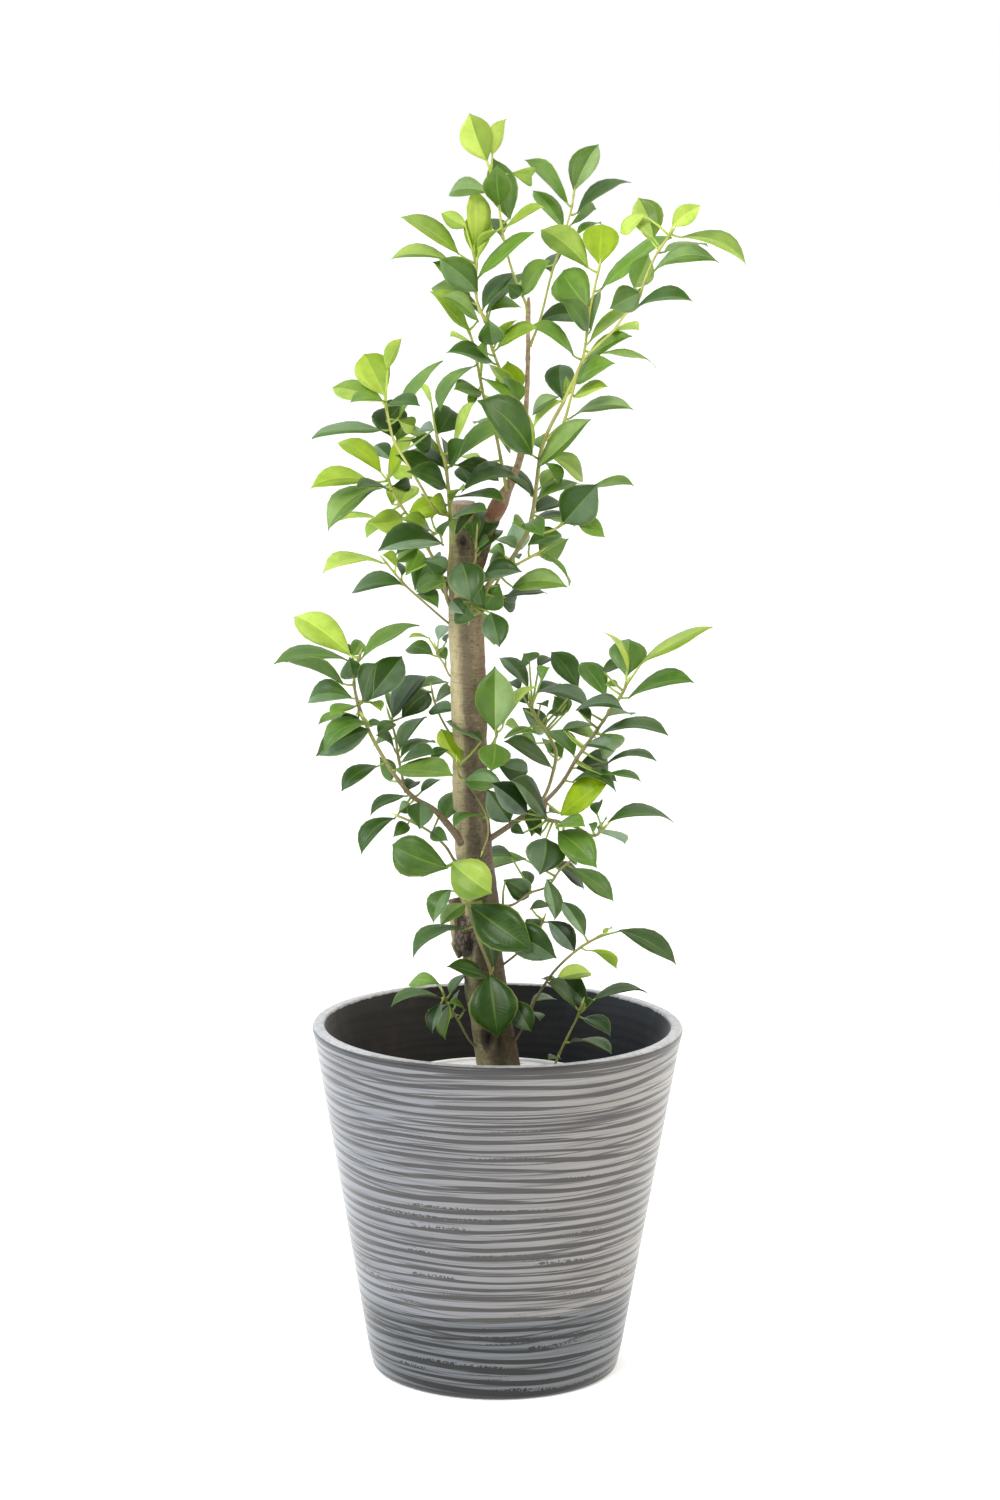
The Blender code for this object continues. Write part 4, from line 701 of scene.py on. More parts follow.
def near(point, wide, tall):
    """One close to a place on the trunk, nothing away from it."""
    away = wire(tree, "ShaderNodeVectorMath", {0: place, 1: tuple(point)}, operation="SUBTRACT").outputs[0]
    sizes = (1 / wide, 0.5 / wide, 1 / tall)
    away = wire(tree, "ShaderNodeVectorMath", {0: away, 1: sizes}, operation="MULTIPLY").outputs[0]
    reach = wire(tree, "ShaderNodeVectorMath", {0: away}, operation="LENGTH").outputs["Value"]
    return band(plus(reach, sway(speck, 0.9)), 1.1, 0.7)


# Dead cracked bark round the stub, and painted shade round the largest hollow
cracks = wire(tree, "ShaderNodeMapping", {"Vector": place, "Scale": (1.6, 1.6, 0.7)})
cracks = wire(
    tree, "ShaderNodeTexVoronoi", {"Vector": cracks.outputs[0], "Scale": 210.0}, feature="DISTANCE_TO_EDGE"
)
dead = blend(band(cracks.outputs["Distance"], 0.16, 0.05), (0.135, 0.102, 0.078, 1), (0.016, 0.011, 0.008, 1))
for spot, wide, tall, strength, colour in (
    ((465, 936, 12), 0.0105, 0.0195, 0.85, dead),
    ((454, 899, 8), 0.006, 0.006, 0.75, (0.090, 0.045, 0.030, 1)),
    ((490, 1038, 20), 0.009, 0.013, 0.60, (0.030, 0.021, 0.012, 1)),
):
    bark_colour = blend(times(near(at(*spot), wide, tall), strength), bark_colour, colour)
# Painted shade: the deepest dents are darkened almost black inside
for centre, wide, tall, deep in dents:
    if deep < DEEP_DENT:
        hollow = times(near(centre, wide * 0.9, tall * 0.9), 0.9)
        bark_colour = blend(hollow, bark_colour, (0.018, 0.012, 0.009, 1))
# The leading limb is younger: tan to reddish at its foot, pale and smooth higher up
young = band(height, at(490, 530).z, at(505, 490).z)
tan = blend(band(speck, 0.35, 0.65), (0.330, 0.215, 0.125, 1), (0.520, 0.370, 0.245, 1))
bark_colour = blend(young, bark_colour, tan)
limb_foot = times(near(at(493, 509, 0), 0.012, 0.009), 0.8)
bark_colour = blend(limb_foot, bark_colour, (0.230, 0.085, 0.045, 1))
# Bare wood on the sawn top
cut_wood = blend(band(speck, 0.4, 0.6), (0.50, 0.38, 0.31, 1), (0.62, 0.50, 0.42, 1))
bark_colour = blend(near(sawn_top, 0.013, 0.0022), bark_colour, cut_wood)
link(base_color=bark_colour)
link(roughness=band(speck, 0.3, 0.7, 0.55, 0.85))
bark_relief = less(plus(speck, times(rings, 1.1)), times(pore, 0.6))
link(normal=relieved(bark_relief, 0.0010, 0.60))
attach(trunk, "root")
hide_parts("trunk")


# Leafy sprays: twigs of young wood, each with its leaves on short stalks. A blade is leathery, glossy
# and folded along its pale midrib, lime and thin at the tips of the plant, dark and thick low down,
# its green partly painted light and shade. A twig gives its start and end radius in mm and its path; a
# leaf gives the places of its blade's base and tip, the width that shows, its arch, its length (negative
# where it points away), and its look: the letter of its green, u or d for the side in view, and the
# half turned to the light, which takes a painted sheen.
SPRAYS = {
    "top_spray": """
        twig 1.6 1 528 312 -8 526 304 -8 512 270 -2 502 230 6 499 206 12 490 170 14
        487 161 470 114 33 3 52 LuL; 492 155 504 119 16 3 -46 Ld; 510 219.5 494 158 30 7.5 -64 Bd;
        499.5 205.5 497 168 28.5 2 56 Gu; 489 192.5 447.5 193.5 20 9.5 -50 Mur;
        501.5 236.5 487.5 216 17 3 -52 Cu;
        503 228 541 204 9 3 -50 Ld; 498 230 476 247 9 4 -46 Ld; 511 173 533 177.5 19 9 -48 Vu
        twig 1 0.8 522 296 -6 517 284 0 514 276 4
        522 297 548 260 19 6 60 Mu; 520 296 508 284 16 3 44 Cu
    """,
    "leader_spray": """
        twig 1.4 0.9 530 346 -10 540 320 -33 551 276 -65 561 245 -88 571 211 -103 574 193 -107
        567 203 529 157 16 5 -62 Pd; 565 228 534 189 18 5 -56 Pul; 574 191 598 143 27 4 -58 MuR;
        577 213 629 178 14 7 -66 Cu; 571 224.5 594 207.5 9 2 -52 Gd; 577 234 601 221 8 3 -52 Pu;
        551 272 557 250 16 3 -56 Cu; 548 266 516 286 18 6 -58 Vu; 539 321 588 318 20 10 -58 Cur
    """,
    "inner_left_spray": """
        twig 1.8 1.1 523 441 -9 517 414 -3 511 396 0 502 374 4 494 354 8 489 338 10 486 322 10
        492 345 489 322 26 4 52 Bur; 491 348 516 318 10 3 48 Ld; 493 350 536 326 13 5 56 Vu;
        493 363 449 349 17 6 58 Bul; 488 354 479 347 10 2 40 Pu;
        486 312 522 306 14 8 -60 Pu; 489.5 309.5 531 268.5 10.5 3 -72 Bu; 512 396 508 362 30 4 58 Yu;
        512 398 490 362 15 4 56 Ld; 517 403 508 374 18 3 50 Pd
        twig 1.5 1 486 323 10 477 301 8 476 276 10 477 262 12
        477.5 259 479.5 207 28.5 3 -58 Yur; 474 245 475.5 188 24 8 -60 Lu; 467 227 441.5 213 17 3 -50 Ldl;
        459 254 403 214 20 7 -66 Vu; 451 262 390 257 13 9 62 VuR; 477.7 291.5 440 259 31 7 54 Gul;
        473 290 434.4 260 17.9 3 52 Mu; 478 277 532 230 14 4 -72 Pu; 473 303 431 284 22 5 -56 Mu;
        478 311 440 292 12 5 -58 Cu; 480.5 309.5 514 271 17 5 -56 Cu
    """,
    "left_crown_spray": """
        twig 1.8 1.2 507 492 -5 503 471 4 495 431 8 484 398 14 479 372 20 473 344 27 468 328 31
        468 330 432 290 18 4 62 Vu; 479 322 446 295 15 4 58 Pur; 473 344 451 334 3 2 -40 Ld;
        476 366 437 408 13 8 62 Pu; 480.5 391 455.5 387.5 15 1 52 Gu; 478 390 470 407 10 5 40 Pu;
        483 395 534 454 38 8 86 Lul; 482 378 512 400 9 4 46 Pu; 481 372 486 341 3 2 -44 Ld;
        496 434 512 450 13 4 -44 Bu; 490 426 474 421 9 3 -44 Pu; 481 462 459 456 8 4 -48 Lu
    """,
    "right_crown_limb": """
        twig 3 1.6 478 600 0 492 580 8 505 568 10 518 549 10 529 528 8 534 505 6 537 480 6 541 452 6 549 \
            429 4 563 403 0
        532 455 484 400 40 8 88 Cu; 537 468 588 417 20 3 72 PuL; 540 448 541 434 13 3 -46 Pu;
        546 438 574 426 7 3 -50 Yd; 548 454 585 480 19 8 -56 Vur; 546 463 561 484 13 5 -48 Pu;
        541 487 561 468 15 4 -50 Vu; 538 499 579 481 13 5 -58 Pu; 536 512 563 500 19 4 -54 Du;
        548 518 575 524 8 3 -50 Pd; 534 496 461.5 489.5 14 23 84 Cu; 534 497 494 463 14 5 -60 Du;
        531 519 578 515 8 4 -58 Cu; 530 522 543 534 22 6 50 Bu; 528 528 515 521 10 3 44 Pu
        twig 1.5 1 563 403 0 573 381 -8 583 357 -20 588 325 -35 592 300 -43 600 264 -50
        599.7 264.5 603 221.5 37 3 -56 Yu; 601 289 668 233 17 6 74 Pu; 589 307.5 561 268 41 6 -62 Pu;
        588 268 541 227 29 5 -68 Vur; 589 330 565 299 19 6 54 Bu; 591 330 600 288 16 5 -56 Mur;
        589.5 341.5 635 302 12 4 62 Vd; 574 356 531 324 15 8 64 Pu; 585 359 630 334 15 5 60 Pul;
        600 353 657 362 7 6 62 Vd; 563 400 560 362 30 5 -58 Cur; 571 383 612 361 20 7 60 Pu;
        565 399 567 376 9 3 -40 Vu; 558 397 530 414 14 5 -52 MuR; 561 401 532 427 9 4 -56 Lu;
        573 397 607 385 13 4 54 LuR
        twig 1.5 1 546 440 5 561 428 6 572 394 10 582 362 13 598 345 16 613 331 24 625 315 31 637 303 39 \
            645 280 46 656 255 54 672 232 62
        653.5 239 638.3 197 31 -3 -54 VuL; 672 226 699 206 20 4 44 Lur; 645 214 619 232.5 15 2 -46 Lu;
        652 242 640 212 18 3 -44 Ld; 682 237 748 262 17 11 72 Vur; 649 274 718 260 16 14 74 Pul;
        664 252 708 243 8 5 -56 Pu; 634 288 648 256 26 3 -54 Pdl; 640 293 612 307.5 28 1.5 50 Gul;
        637 305 637 288 14 3 -40 Gu; 636 308 692 299 14 9 62 Bur; 612 331 638 327 8 3 -54 Ld;
        570 418 632 407 12 9 68 MuL
        twig 1.6 1 529 528 8 541 533 9 553 530 11 563 524 12
        563 523 596 486 42 6 64 Cur; 590 489 633 482 10 5 -56 Pd; 576 517 605 537 18 8 52 Pu
    """,
    "upper_left_limb": """
        twig 2.2 1.3 457 606 10 449 580 10 451 545 16 450 515 24 448 485 31 445 462 35 439 445 39 437 437 \
            43
        432 404 421 384 6 2 -40 Ld; 437 434 452 406 30 4 -56 Cu; 442 454 381 423 9 8 74 Vu;
        452.6 450 472 401.5 9 3 62 Lu;
        452 466 517.6 423.5 18 11 80 Pu; 445 468.3 408 448 17 6 -58 Du; 446.5 484.5 397 454 21 5 66 Bu;
        445.5 487 411 470 22 7 56 Cu; 447 462 443 437 12 3 -50 Cu; 450 466 462 440 14 4 52 Cu;
        460 496 503 499 9 4 58 Cu; 452 500 463 486 6 3 40 Vd; 448 505 409 512 22 6 54 Yu;
        447 512 432 500 14 3 44 Yu; 451 517 487 509 9 3 58 Bu; 454 533 474 508 12 4 50 Cu;
        449 520 441 534 8 2 40 Cu; 452 540 456 520 7 3 36 Vu; 471 486 458 466 18 4 -50 Cu;
        457 465 500 480 20 6 -56 Cu
        twig 1.6 1 449 515 24 437 512 35 420 485 54 405 460 69 394 441 81 389 422 88 385 400 96
        385.6 396 364 352.5 35 4 -58 Yul; 387 370 401 338 14 3 -48 Ld; 383 401 332 386 22 5 -60 Vul;
        386 402 351 400 9 6 52 Pu; 398 418.5 441 359 11 5 -78 Pu; 390 402 418 402 14 4 54 Cu;
        386 420 401 402 26 3 -48 Du; 392 437 388 403.5 34 2 -50 Du; 398 420 416 426 18 4 -48 VuR;
        383 430 312 433 13 6 74 Bur; 397 440 402 421 26 5 -50 Pu; 411 440 432 446 20 4 -52 Cu;
        434 430 419 429 12 3 -44 Wu
        twig 1.6 1 449 523 20 430 535 14 412 520 4 402 507 -8 393 492 -24 388 478 -43
        381 472 338 439 21 8 -62 Yu; 388 480 409.5 436 14.5 3 58 Yu;
        412 478 393 464 17 -3 -50 Lu; 371 482 311 485 20 9 68 Yur; 389 490 357 486 8 5 50 Cu;
        380 488 327 530 24 14 76 Mur; 392 505 396 485 16 4 -44 Lu; 393 486 411 482 14 4 -48 Du;
        400 505 412 484 24 5 -52 Lur; 392 460 374 443 18 4 -52 CuL; 403 518 371 523 26 6 56 Lul;
        378 518 336 520 7 4 -54 Ld; 394 520 366 535 12 6 50 Vu; 430 529 404 518 14 5 48 Vur;
        444 545 379 548 24 14 78 CuL; 432 520 422 492 10 3 -48 Yu
    """,
    "left_arm_spray": """
        twig 2.4 1.3 455 616 -4 447 598 8 443 580 20 440 570 27 432 556 35 426 545 39
        430 540 396 552 12 5 46 Bu; 418 548 396 562 16 6 44 PuR; 406 575 420 548 20 5 -48 Pu;
        415 590 430 556 22 5 -54 Bur; 447 570 425 561 20 6 44 Cur; 416 592 446 580 18 6 52 Gu;
        434 577 450 592 14 4 -46 Bu; 417 594 438 607 14 6 50 Bu; 441 556 432 557 4 2 -36 Bu
    """,
    "left_wisp": """
        twig 1.2 0.9 457 629 0 447 622 2 425 603 12 405 585 27 392 570 39 384 560 46
        385 560 323 568 11 8 70 Lu; 402 584 351 590 18 9 -66 Cu; 397 565 384 554 10 4 40 Lu;
        402 576 396 560 8 3 -40 Du
    """,
    "middle_front_spray": """
        twig 1.3 0.9 467 572 6 475 562 16 476 545 24 477 530 31
        476 542 486 508 30 6 -60 Cul; 474 540 470 512 18 4 -50 Bu;
        480 552 502 528 18 5 -52 Bu; 478 548 488 540 8 3 40 Cu
    """,
    "middle_spray": """
        twig 1.4 1 474 587 8 478 588 22 474 602 31 470 618 39
        462 562 471 601 37 10 62 Cur; 499 584 485 611 30 4 -44 Bu; 484 612 476 577 16 3 -58 Bul;
        455 610 474 618 22 5 46 Du; 452 600 463 613 16 4 44 CuR; 484 575 520 570 20 8 56 Dur;
        479 583 497 578 12 4 -46 Cu; 497 598 517 602 20 5 -50 Du;
        505 598 547 590 10 4 -58 Eu; 490.5 612 499 645 27 3 60 Cur; 482 612 498 645 14 3 54 Pd
    """,
    "right_middle_spray": """
        twig 1.6 1.1 474 611 8 480 604 16 495 577 24 516 565 27 538 553 27 541 551 27
        540 556 566 540 26 6 -56 Pdr; 528 545 562 533 18 6 -56 Bur; 512 588 566 584 22 12 66 Mul;
        541 552 571 584 3 6 54 Pd; 508 560 488 566 16 4 -50 Mu; 513 556 519 558 6 2 36 Cu
    """,
    "back_middle_spray": """
        twig 1.4 1 476 606 -6 492 590 -14 504 570 -35 516 552 -54 520 545 -58
        518 548 498 538 12 4 -48 Bu; 521 549.8 513 525 25 3 -50 Wd; 505 556 490 548 14 4 -44 Pu
    """,
    "lower_left_limb": """
        twig 4.2 2 462 842 10 444 820 20 432 808 31 413 797 39 394 774 46 375 743 50 363 718 50
        395 770 452 773 22 4 72 Mu; 378 766 341 789 16 9 54 Du; 391 782 381 758 16 4 -44 Bd;
        409 796 369.5 811.5 11 5 48 Du; 404 792 416 780 14 4 -40 Du; 421 792 440 778 9 4 -46 Bu;
        410 804 399 812 14 4 36 BuR; 421 802 420 827 27 5 50 Cul; 443 823 466 789 24 4 -62 Bu;
        395 818 360 852 18 11 62 Du; 408 824 394 836 14 6 40 Cu; 432 830 447 840 16 5 44 Cu
        twig 1.8 1.2 366 724 50 361 713 46 357 700 35 354 682 20 356 668 8 360 655 0
        350 655 294 613 32 7 -76 Lur; 351 656 362 640 16 3 -42 Pur; 352 656 336 646 12 3 -40 Cu;
        362 657 418 622 15 6 -72 Pu; 348 660 274 661 14 9 80 Bu; 343 684 286 660 13 6 70 Bd;
        352 698 306 698 24 9 -58 Bul; 355 678 350 658 24 5 44 Cul; 366 701 402 655 33 5 -70 Dur;
        362 701 373 664 20 3 66 Du; 356 706 330 714 10 5 48 Pu; 357 716 318 722 9 5 -50 Pd;
        359 718 338 734 22 9 50 Du; 372 726 323 748 18 14 66 Bu; 370 730 316 755 30 13 66 Cul;
        366 726 382 722 8 3 -44 Bu; 371 702 381 710 9 4 40 Vu
        twig 1.4 1 404 786 39 398 755 12 395 735 -2 391 722 -10 388 712 -16
        392 718 424 672 24 7 -68 Eul; 402 718 431 691 27 4 -64 Du; 393 718 390 690 16 4 -54 Bu;
        400 748 424 713 16 5 -66 Bu; 401 756 436 740 9 5 -54 Bu; 393 722 378 734 14 5 44 Bu;
        395 750 378 734 8 5 44 Du; 398 762 434 752 14 6 54 Cu; 386 740 374 744 8 3 -40 Bu
    """,
    "left_low_spray": """
        twig 1.6 1.1 466 867 8 455 861 24 446 847 35 430 832 46 412 822 62 398 816 69
        448 868 391 844 42 8 -74 Gu; 446 866 420 876 12 5 -44 Du
    """,
    "right_thin_spray": """
        twig 1.2 0.9 477 757 8 488 749 16 497 735 20 496 728 22
        495 731 495 667.5 40 5 62 PuR; 502 728 534 684.5 11 7 58 Lu; 495 743.5 491.5 770 33 4 50 Gu;
        497 763 530 772 25 4 -50 Dul
    """,
    "front_middle_spray": """
        twig 1.3 1 476 795 14 466 782 27 458 774 39 457 762 43
        461 761 441.5 726.5 21 -2 -58 YuL; 483 742 445.5 719 16 4 -60 Cul; 448 750 430 755 12 4 -44 Du;
        464 781 501 783 22 7 52 Bul; 468 780 475 762 16 4 -40 Du
        twig 1 0.8 471 788 20 480 803 33 487 818 37 488 835 35 483 850 33
        485 816 453 825 7 7 50 Bu
    """,
    "right_back_limb": """
        twig 2.2 1.4 484 843 -6 498 833 -9 520 820 -12 534 808 -27 545 795 -43 552 776 -54 556 752 -62 \
            548 735 -69 533 712 -77 530 700 -81
        528 688 500 655 17 6 -58 Cul; 520 690 510 680 12 3 -44 Du; 530 662 524 654 26 4 -40 Bd;
        538 668 552 657 12 5 -50 Du; 541 680 548 668 12 5 44 Pu; 536 694 560 684 9 6 -50 Du;
        536 692 589 703 14 9 66 Dul; 578 688 551 651 26 5 -60 Cu; 568 712 555 697 24 4 -44 Gd;
        568 704 552 692 8 3 -44 Du; 528 704 522 694 14 3 -40 Du; 540 704 547 705 5 3 40 Du;
        523 708 548 732 21 4 -54 CuR; 547 714 565 713 6 2 -44 Cu;
        504 738 540 733 7 5 -52 Pu; 556 767 507 739 17 5 66 Du; 536 744 523 734 9 3 -44 Pd;
        522 732 506 724 8 3 -44 Vd; 548 752 544 738 10 3 -40 Bu; 562 758 552 742 18 4 -44 Gu
    """,
    "lower_right_limb": """
        twig 3.4 1.6 484 842 2 497 834 6 525 815 10 545 801 16 562 783 27 577 758 39 595 733 50 608 714 \
            58 622 694 65 627 683 69
        627 676 630 638 38 6 -58 Gul; 628 672 606 630 7 6 -60 Lu; 640 664 711 624 13 5 -84 Yul;
        628 698 692 678 16 7 72 Bu; 606 696 581 661 24 6 -62 Bu; 602 672 624 664 12 5 -54 Cd;
        605 684 618 686 7 3 -40 Vd; 576 710 622 706 13 7 62 Dul;
        579 706 591 720 10 4 44 Du; 606 716 632 713 7 4 -52 Bu; 601 734 668 733 14 11 72 Cu;
        600 734 618 750 30 6 -56 Gu; 562 730 598 726 7 5 -56 Cu; 565 730 598 735 15 3 -56 Vu;
        588 744 612 748 14 5 50 CuL; 574 756 548 728 18 5 -60 Bu; 606 764 656 758 8 9 60 Cu;
        576 768 610 762 30 8 -60 Eu; 572 782 616 788 12 12 58 Cu; 560.5 815 607 777 29 7 72 Yu;
        601 775 641 779 6 5 54 Bu; 598 772 617 781 8 3 40 Cu
        twig 2 1.1 545 801 16 546 818 35 560 822 50 578 828 62 594 836 69 606 826 77
        541 836 528 809 16 3 -44 Du; 546.5 818 515 779 20 4 66 Dul; 527 814 492 783 28 6 60 EuL;
        510 822 488 790 27 9 58 Dul; 546 838 540 874 40 7 62 Dur; 532 836 531 812 16 3 -56 Cu;
        524 834 512 825 11 4 -40 Cu; 558 832 596 866 32 9 74 Gu; 556 828 584 824 12 7 58 Pu;
        549 812 560 812 10 3 -44 Cu; 608 822 674 820 13 12 -70 Cu; 597 815 599 800 12 3 -44 Bu;
        598 829 626 840 9 2 -50 Wd; 594 832 590 824 9 3 -40 Pd; 600 830 606 818 3 2 -40 Pu;
        561 850 578 860 14 4 -48 Du
    """,
    "front_spray": """
        twig 2 1.3 494 1003 8 492 988 27 491 972 35 478 938 39 469 910 46 464 896 50 462 888 54
        452 862 491 893 42 8 66 Vul; 451 890 433 922 20 12 50 Bul; 465 904 440 924 17 6 44 PuR;
        465 929 411 954 14 11 68 Cu; 471 906 532 950 46 8 84 Du; 500 928 556 958 36 8 74 Dur;
        487 978 448 965 17 5 46 Du; 494 968 482 925 20 4 -50 Du; 490 974 498 1037 50 8 68 Du;
        482 904 470 902 6 2 -40 Pu
    """,
    "right_thin_low_spray": """
        twig 1.3 0.9 496 970 4 520 951 10 540 928 16 544 918 20
        548 921 575 951 22 7 46 EuR; 538 934 531 917 16 3 -40 Du; 530 909 550 904 10 4 -40 Du
    """,
    "right_back_twig": """
        twig 1.5 0.9 494 905 -6 512 905 -16 530 893 -35 548 886 -50 560 870 -62 574 858 -69
        547 879 557 919 18 5 48 BuR; 553 863 586 889 15 5 -50 Eu; 572 868 615 900 20 7 54 Bu;
        504 880 530 898 24 5 -46 Cul; 529 888 527 870 13 3 -36 Du; 526 859 476 873 15 7 -66 Mu;
        512 856 476 858 12 5 -58 Cu
    """,
    "right_sprig": """
        twig 2 1.1 508 1050 2 522 1028 10 531 1008 16 547 981 31 560 965 39 581 947 50 602 935 58
        619 930 677 963 21 9 70 Du; 604 935 611 927 4 2 -30 Yu; 586 950 617 966 8 6 -46 Ld;
        585 936 563 901 18 6 -50 BuL; 513 1000 531 1031 25 6 48 Dur; 531 1012 541 1018 6 2 36 Du;
        531 1002 556 998 8 4 -40 Bu; 556 983 541 978 6 2 -36 Du; 556 980 592 972 16 5 -48 LuL
    """,
    "left_sprig": """
        twig 1.5 1 484 1052 6 471 1042 10 458 1020 20 447 1003 31 443 992 39
        439 984 408 983 15 7 -50 Pu; 441 998 391 1003 9 8 58 Cu; 450 994 467 972 10 4 -48 Cu;
        441 1003 431 1032 14 6 44 Eul; 447 1004 433 1016 8 3 40 Cu;
        449 1004 443 1038 12 4 48 Pu; 450 1018 461 1015 6 2 -36 Eu; 456 1004 458 990 5 2 -36 Du;
        466 1010 450 1002 6 3 40 Gu
    """,
    "soil_shoot": """
        twig 1.7 1.1 546 1112 2 552 1080 4 556 1062 6 568 1036 10 577 1018 14 582 1004 16
        588 1006 557 977 28 6 -52 Dul; 576 1007 551 981 13 4 50 Du;
        594 999 647 988 10 6 -62 Du; 583 1018 611 1034 15 7 50 Eu; 569 1042 612 1051 5 8 58 Du;
        586 1008 592 1000 6 2 36 Cu; 560 1058 549 1058 5 2 30 Du
    """,
    "left_back_low_twig": """
        twig 1.3 0.9 462 744 -12 452 736 -24 440 716 -43 434 700 -54 432 690 -58
        420 688 448 681 11 6 -56 Bu; 434 700 452 690 12 4 -46 Cd; 429 711 454 708 13 4 50 Cul
    """,
    "left_back_twig": """
        twig 1.1 0.8 462 684 -12 450 676 -24 444 664 -39 438 655 -46 436 648 -50
        433 655 405 647 16 5 -44 Bu; 438 640 448 624 13 3 -40 Wu; 430 638 409 637 4 3 -40 Ld;
        446 660 440 647 13 3 -36 Bu; 446 642 449 632 6 2 -36 Cu
    """,
}
# Places of leaves on a twig, in view units: clear of its foot and tip, and this far apart
START_INSET = 10
END_INSET = 2.5
ROOT_GAP = 2.4
STALK_IN_VIEW = 5.0
SHORTEST_STALK = 0.003
STALK_RADIUS = 0.0009
BLADE_RATIO = 0.54
LEAST_SLOPE = 0.12
BLADE_THICK = 0.00040
RIB_THICK = 0.0006
TWIG_SIDES = 10
TWIG_STEP = 0.0035
BUD_LENGTH = 0.0065
LIMB_RADIUS = 0.003
KNOT_RISE = 0.00022
STALK_SIDES = 5
STALK_SUNK = 0.0004
STALK_SAG = 0.0006
STALK_UNDER = 0.0015
# Greens of a blade by the first letter of its look, from thin young ones to thick old ones in the shade.
# They are partly the blade's own green and partly painted light and shade: the palest also hold light
# shining through from behind, the darkest hold shade, and W, pale and bluish, is a painted sheen
GREENS = {
    "L": (0.610, 0.745, 0.130), "Y": (0.400, 0.540, 0.015), "V": (0.360, 0.510, 0.070),
    "P": (0.220, 0.385, 0.050), "M": (0.220, 0.355, 0.060), "G": (0.140, 0.265, 0.035),
    "B": (0.120, 0.240, 0.040), "C": (0.070, 0.155, 0.025), "D": (0.040, 0.102, 0.010),
    "E": (0.016, 0.055, 0.007), "W": (0.430, 0.560, 0.440),
}
YOUNG_LOOKS = "LYV"
# Which half of a blade is turned to the light, by the third letter of its look, and how much: that half
# takes a painted sheen and the other half painted shade
HALVES = {"": 0.0, "r": 0.2, "R": 0.4, "l": -0.2, "L": -0.4}
TWIG_TAN = (0.195, 0.145, 0.085)
TWIG_GREEN = (0.300, 0.310, 0.080)
TWIG_LIME = (0.540, 0.560, 0.140)
STALK_GREEN = (0.520, 0.600, 0.130)


def ease(value, low, high):
    return max(low, min(high, value))


def rooted(path, leaves):
    """Each leaf of a twig with the place on the path that its stalk grows from, no two in one place."""
    marks = [0.0]
    for a, b in zip(path, path[1:]):
        marks.append(marks[-1] + math.dist(a, b))
    wanted = []
    for leaf in leaves:
        bx, by, tx, ty = leaf[:4]
        back = STALK_IN_VIEW / math.hypot(tx - bx, ty - by)
        x, y = bx - (tx - bx) * back, by - (ty - by) * back
        found = None
        for k, ((ax, ay, _), (cx, cy, _)) in enumerate(zip(path, path[1:])):
            dx, dy = cx - ax, cy - ay
            share = ease(((x - ax) * dx + (y - ay) * dy) / (dx * dx + dy * dy), 0, 1)
            gap = math.hypot(ax + dx * share - x, ay + dy * share - y)
            if found is None or gap < found[0]:
                found = (gap, marks[k] + (marks[k + 1] - marks[k]) * share)
        wanted.append((found[1], len(wanted), leaf))
    wanted.sort()
    least, most = min(START_INSET, 0.5 * marks[-1]), marks[-1] - END_INSET
    step = min(ROOT_GAP, (most - least) / max(len(wanted), 1))
    lengths = []
    for length, _, _ in wanted:
        lengths.append(max(length, least))
        least = lengths[-1] + step
    placed = []
    for length, (_, _, leaf) in zip(lengths[::-1], wanted[::-1]):
        length = min(length, most)
        most = length - step
        k = max(i for i in range(len(marks) - 1) if marks[i] <= length)
        placed.append((leaf, k + (length - marks[k]) / (marks[k + 1] - marks[k])))
    return placed


# One flat blade, a closed thin sheet four faces wide, that every leaf is shaped from
LEAF_ACROSS = 4
LEAF_ALONG = 10
# Share of the blade's length, and half its width there in a pointed leaf and in a blunt one
OUTLINE = [
    (0.000, 0.05, 0.05), (0.060, 0.19, 0.16), (0.170, 0.50, 0.44), (0.310, 0.81, 0.74), (0.460, 0.99, 0.94),
    (0.600, 0.98, 1.00), (0.730, 0.80, 0.92), (0.840, 0.52, 0.71), (0.910, 0.27, 0.43), (0.958, 0.10, 0.16),
    (1.000, 0.02, 0.02),
]
TIP_START = 0.72
pattern = bmesh.new()
bmesh.ops.create_grid(pattern, x_segments=LEAF_ACROSS, y_segments=LEAF_ALONG, size=1)
bmesh.ops.solidify(pattern, geom=pattern.faces, thickness=0.1)
bmesh.ops.recalc_face_normals(pattern, faces=pattern.faces)
middle = sum(v.co.z for v in pattern.verts) / len(pattern.verts)
# Every corner of the pattern: across from -1 to 1, row along, and whether it is on the under side
corners = [
    (round(v.co.x * LEAF_ACROSS / 2) * 2 / LEAF_ACROSS, round((v.co.y + 1) / 2 * LEAF_ALONG), v.co.z < middle)
    for v in pattern.verts
]
# The faces that can meet a neighbour, all but those next to the stalk
open_faces = [
    [v.index for v in face.verts]
    for face in pattern.faces
    if all(corners[v.index][1] > 0 for v in face.verts)
]
pattern_mesh = bpy.data.meshes.new("leaf_pattern")
pattern.to_mesh(pattern_mesh)
pattern.free()


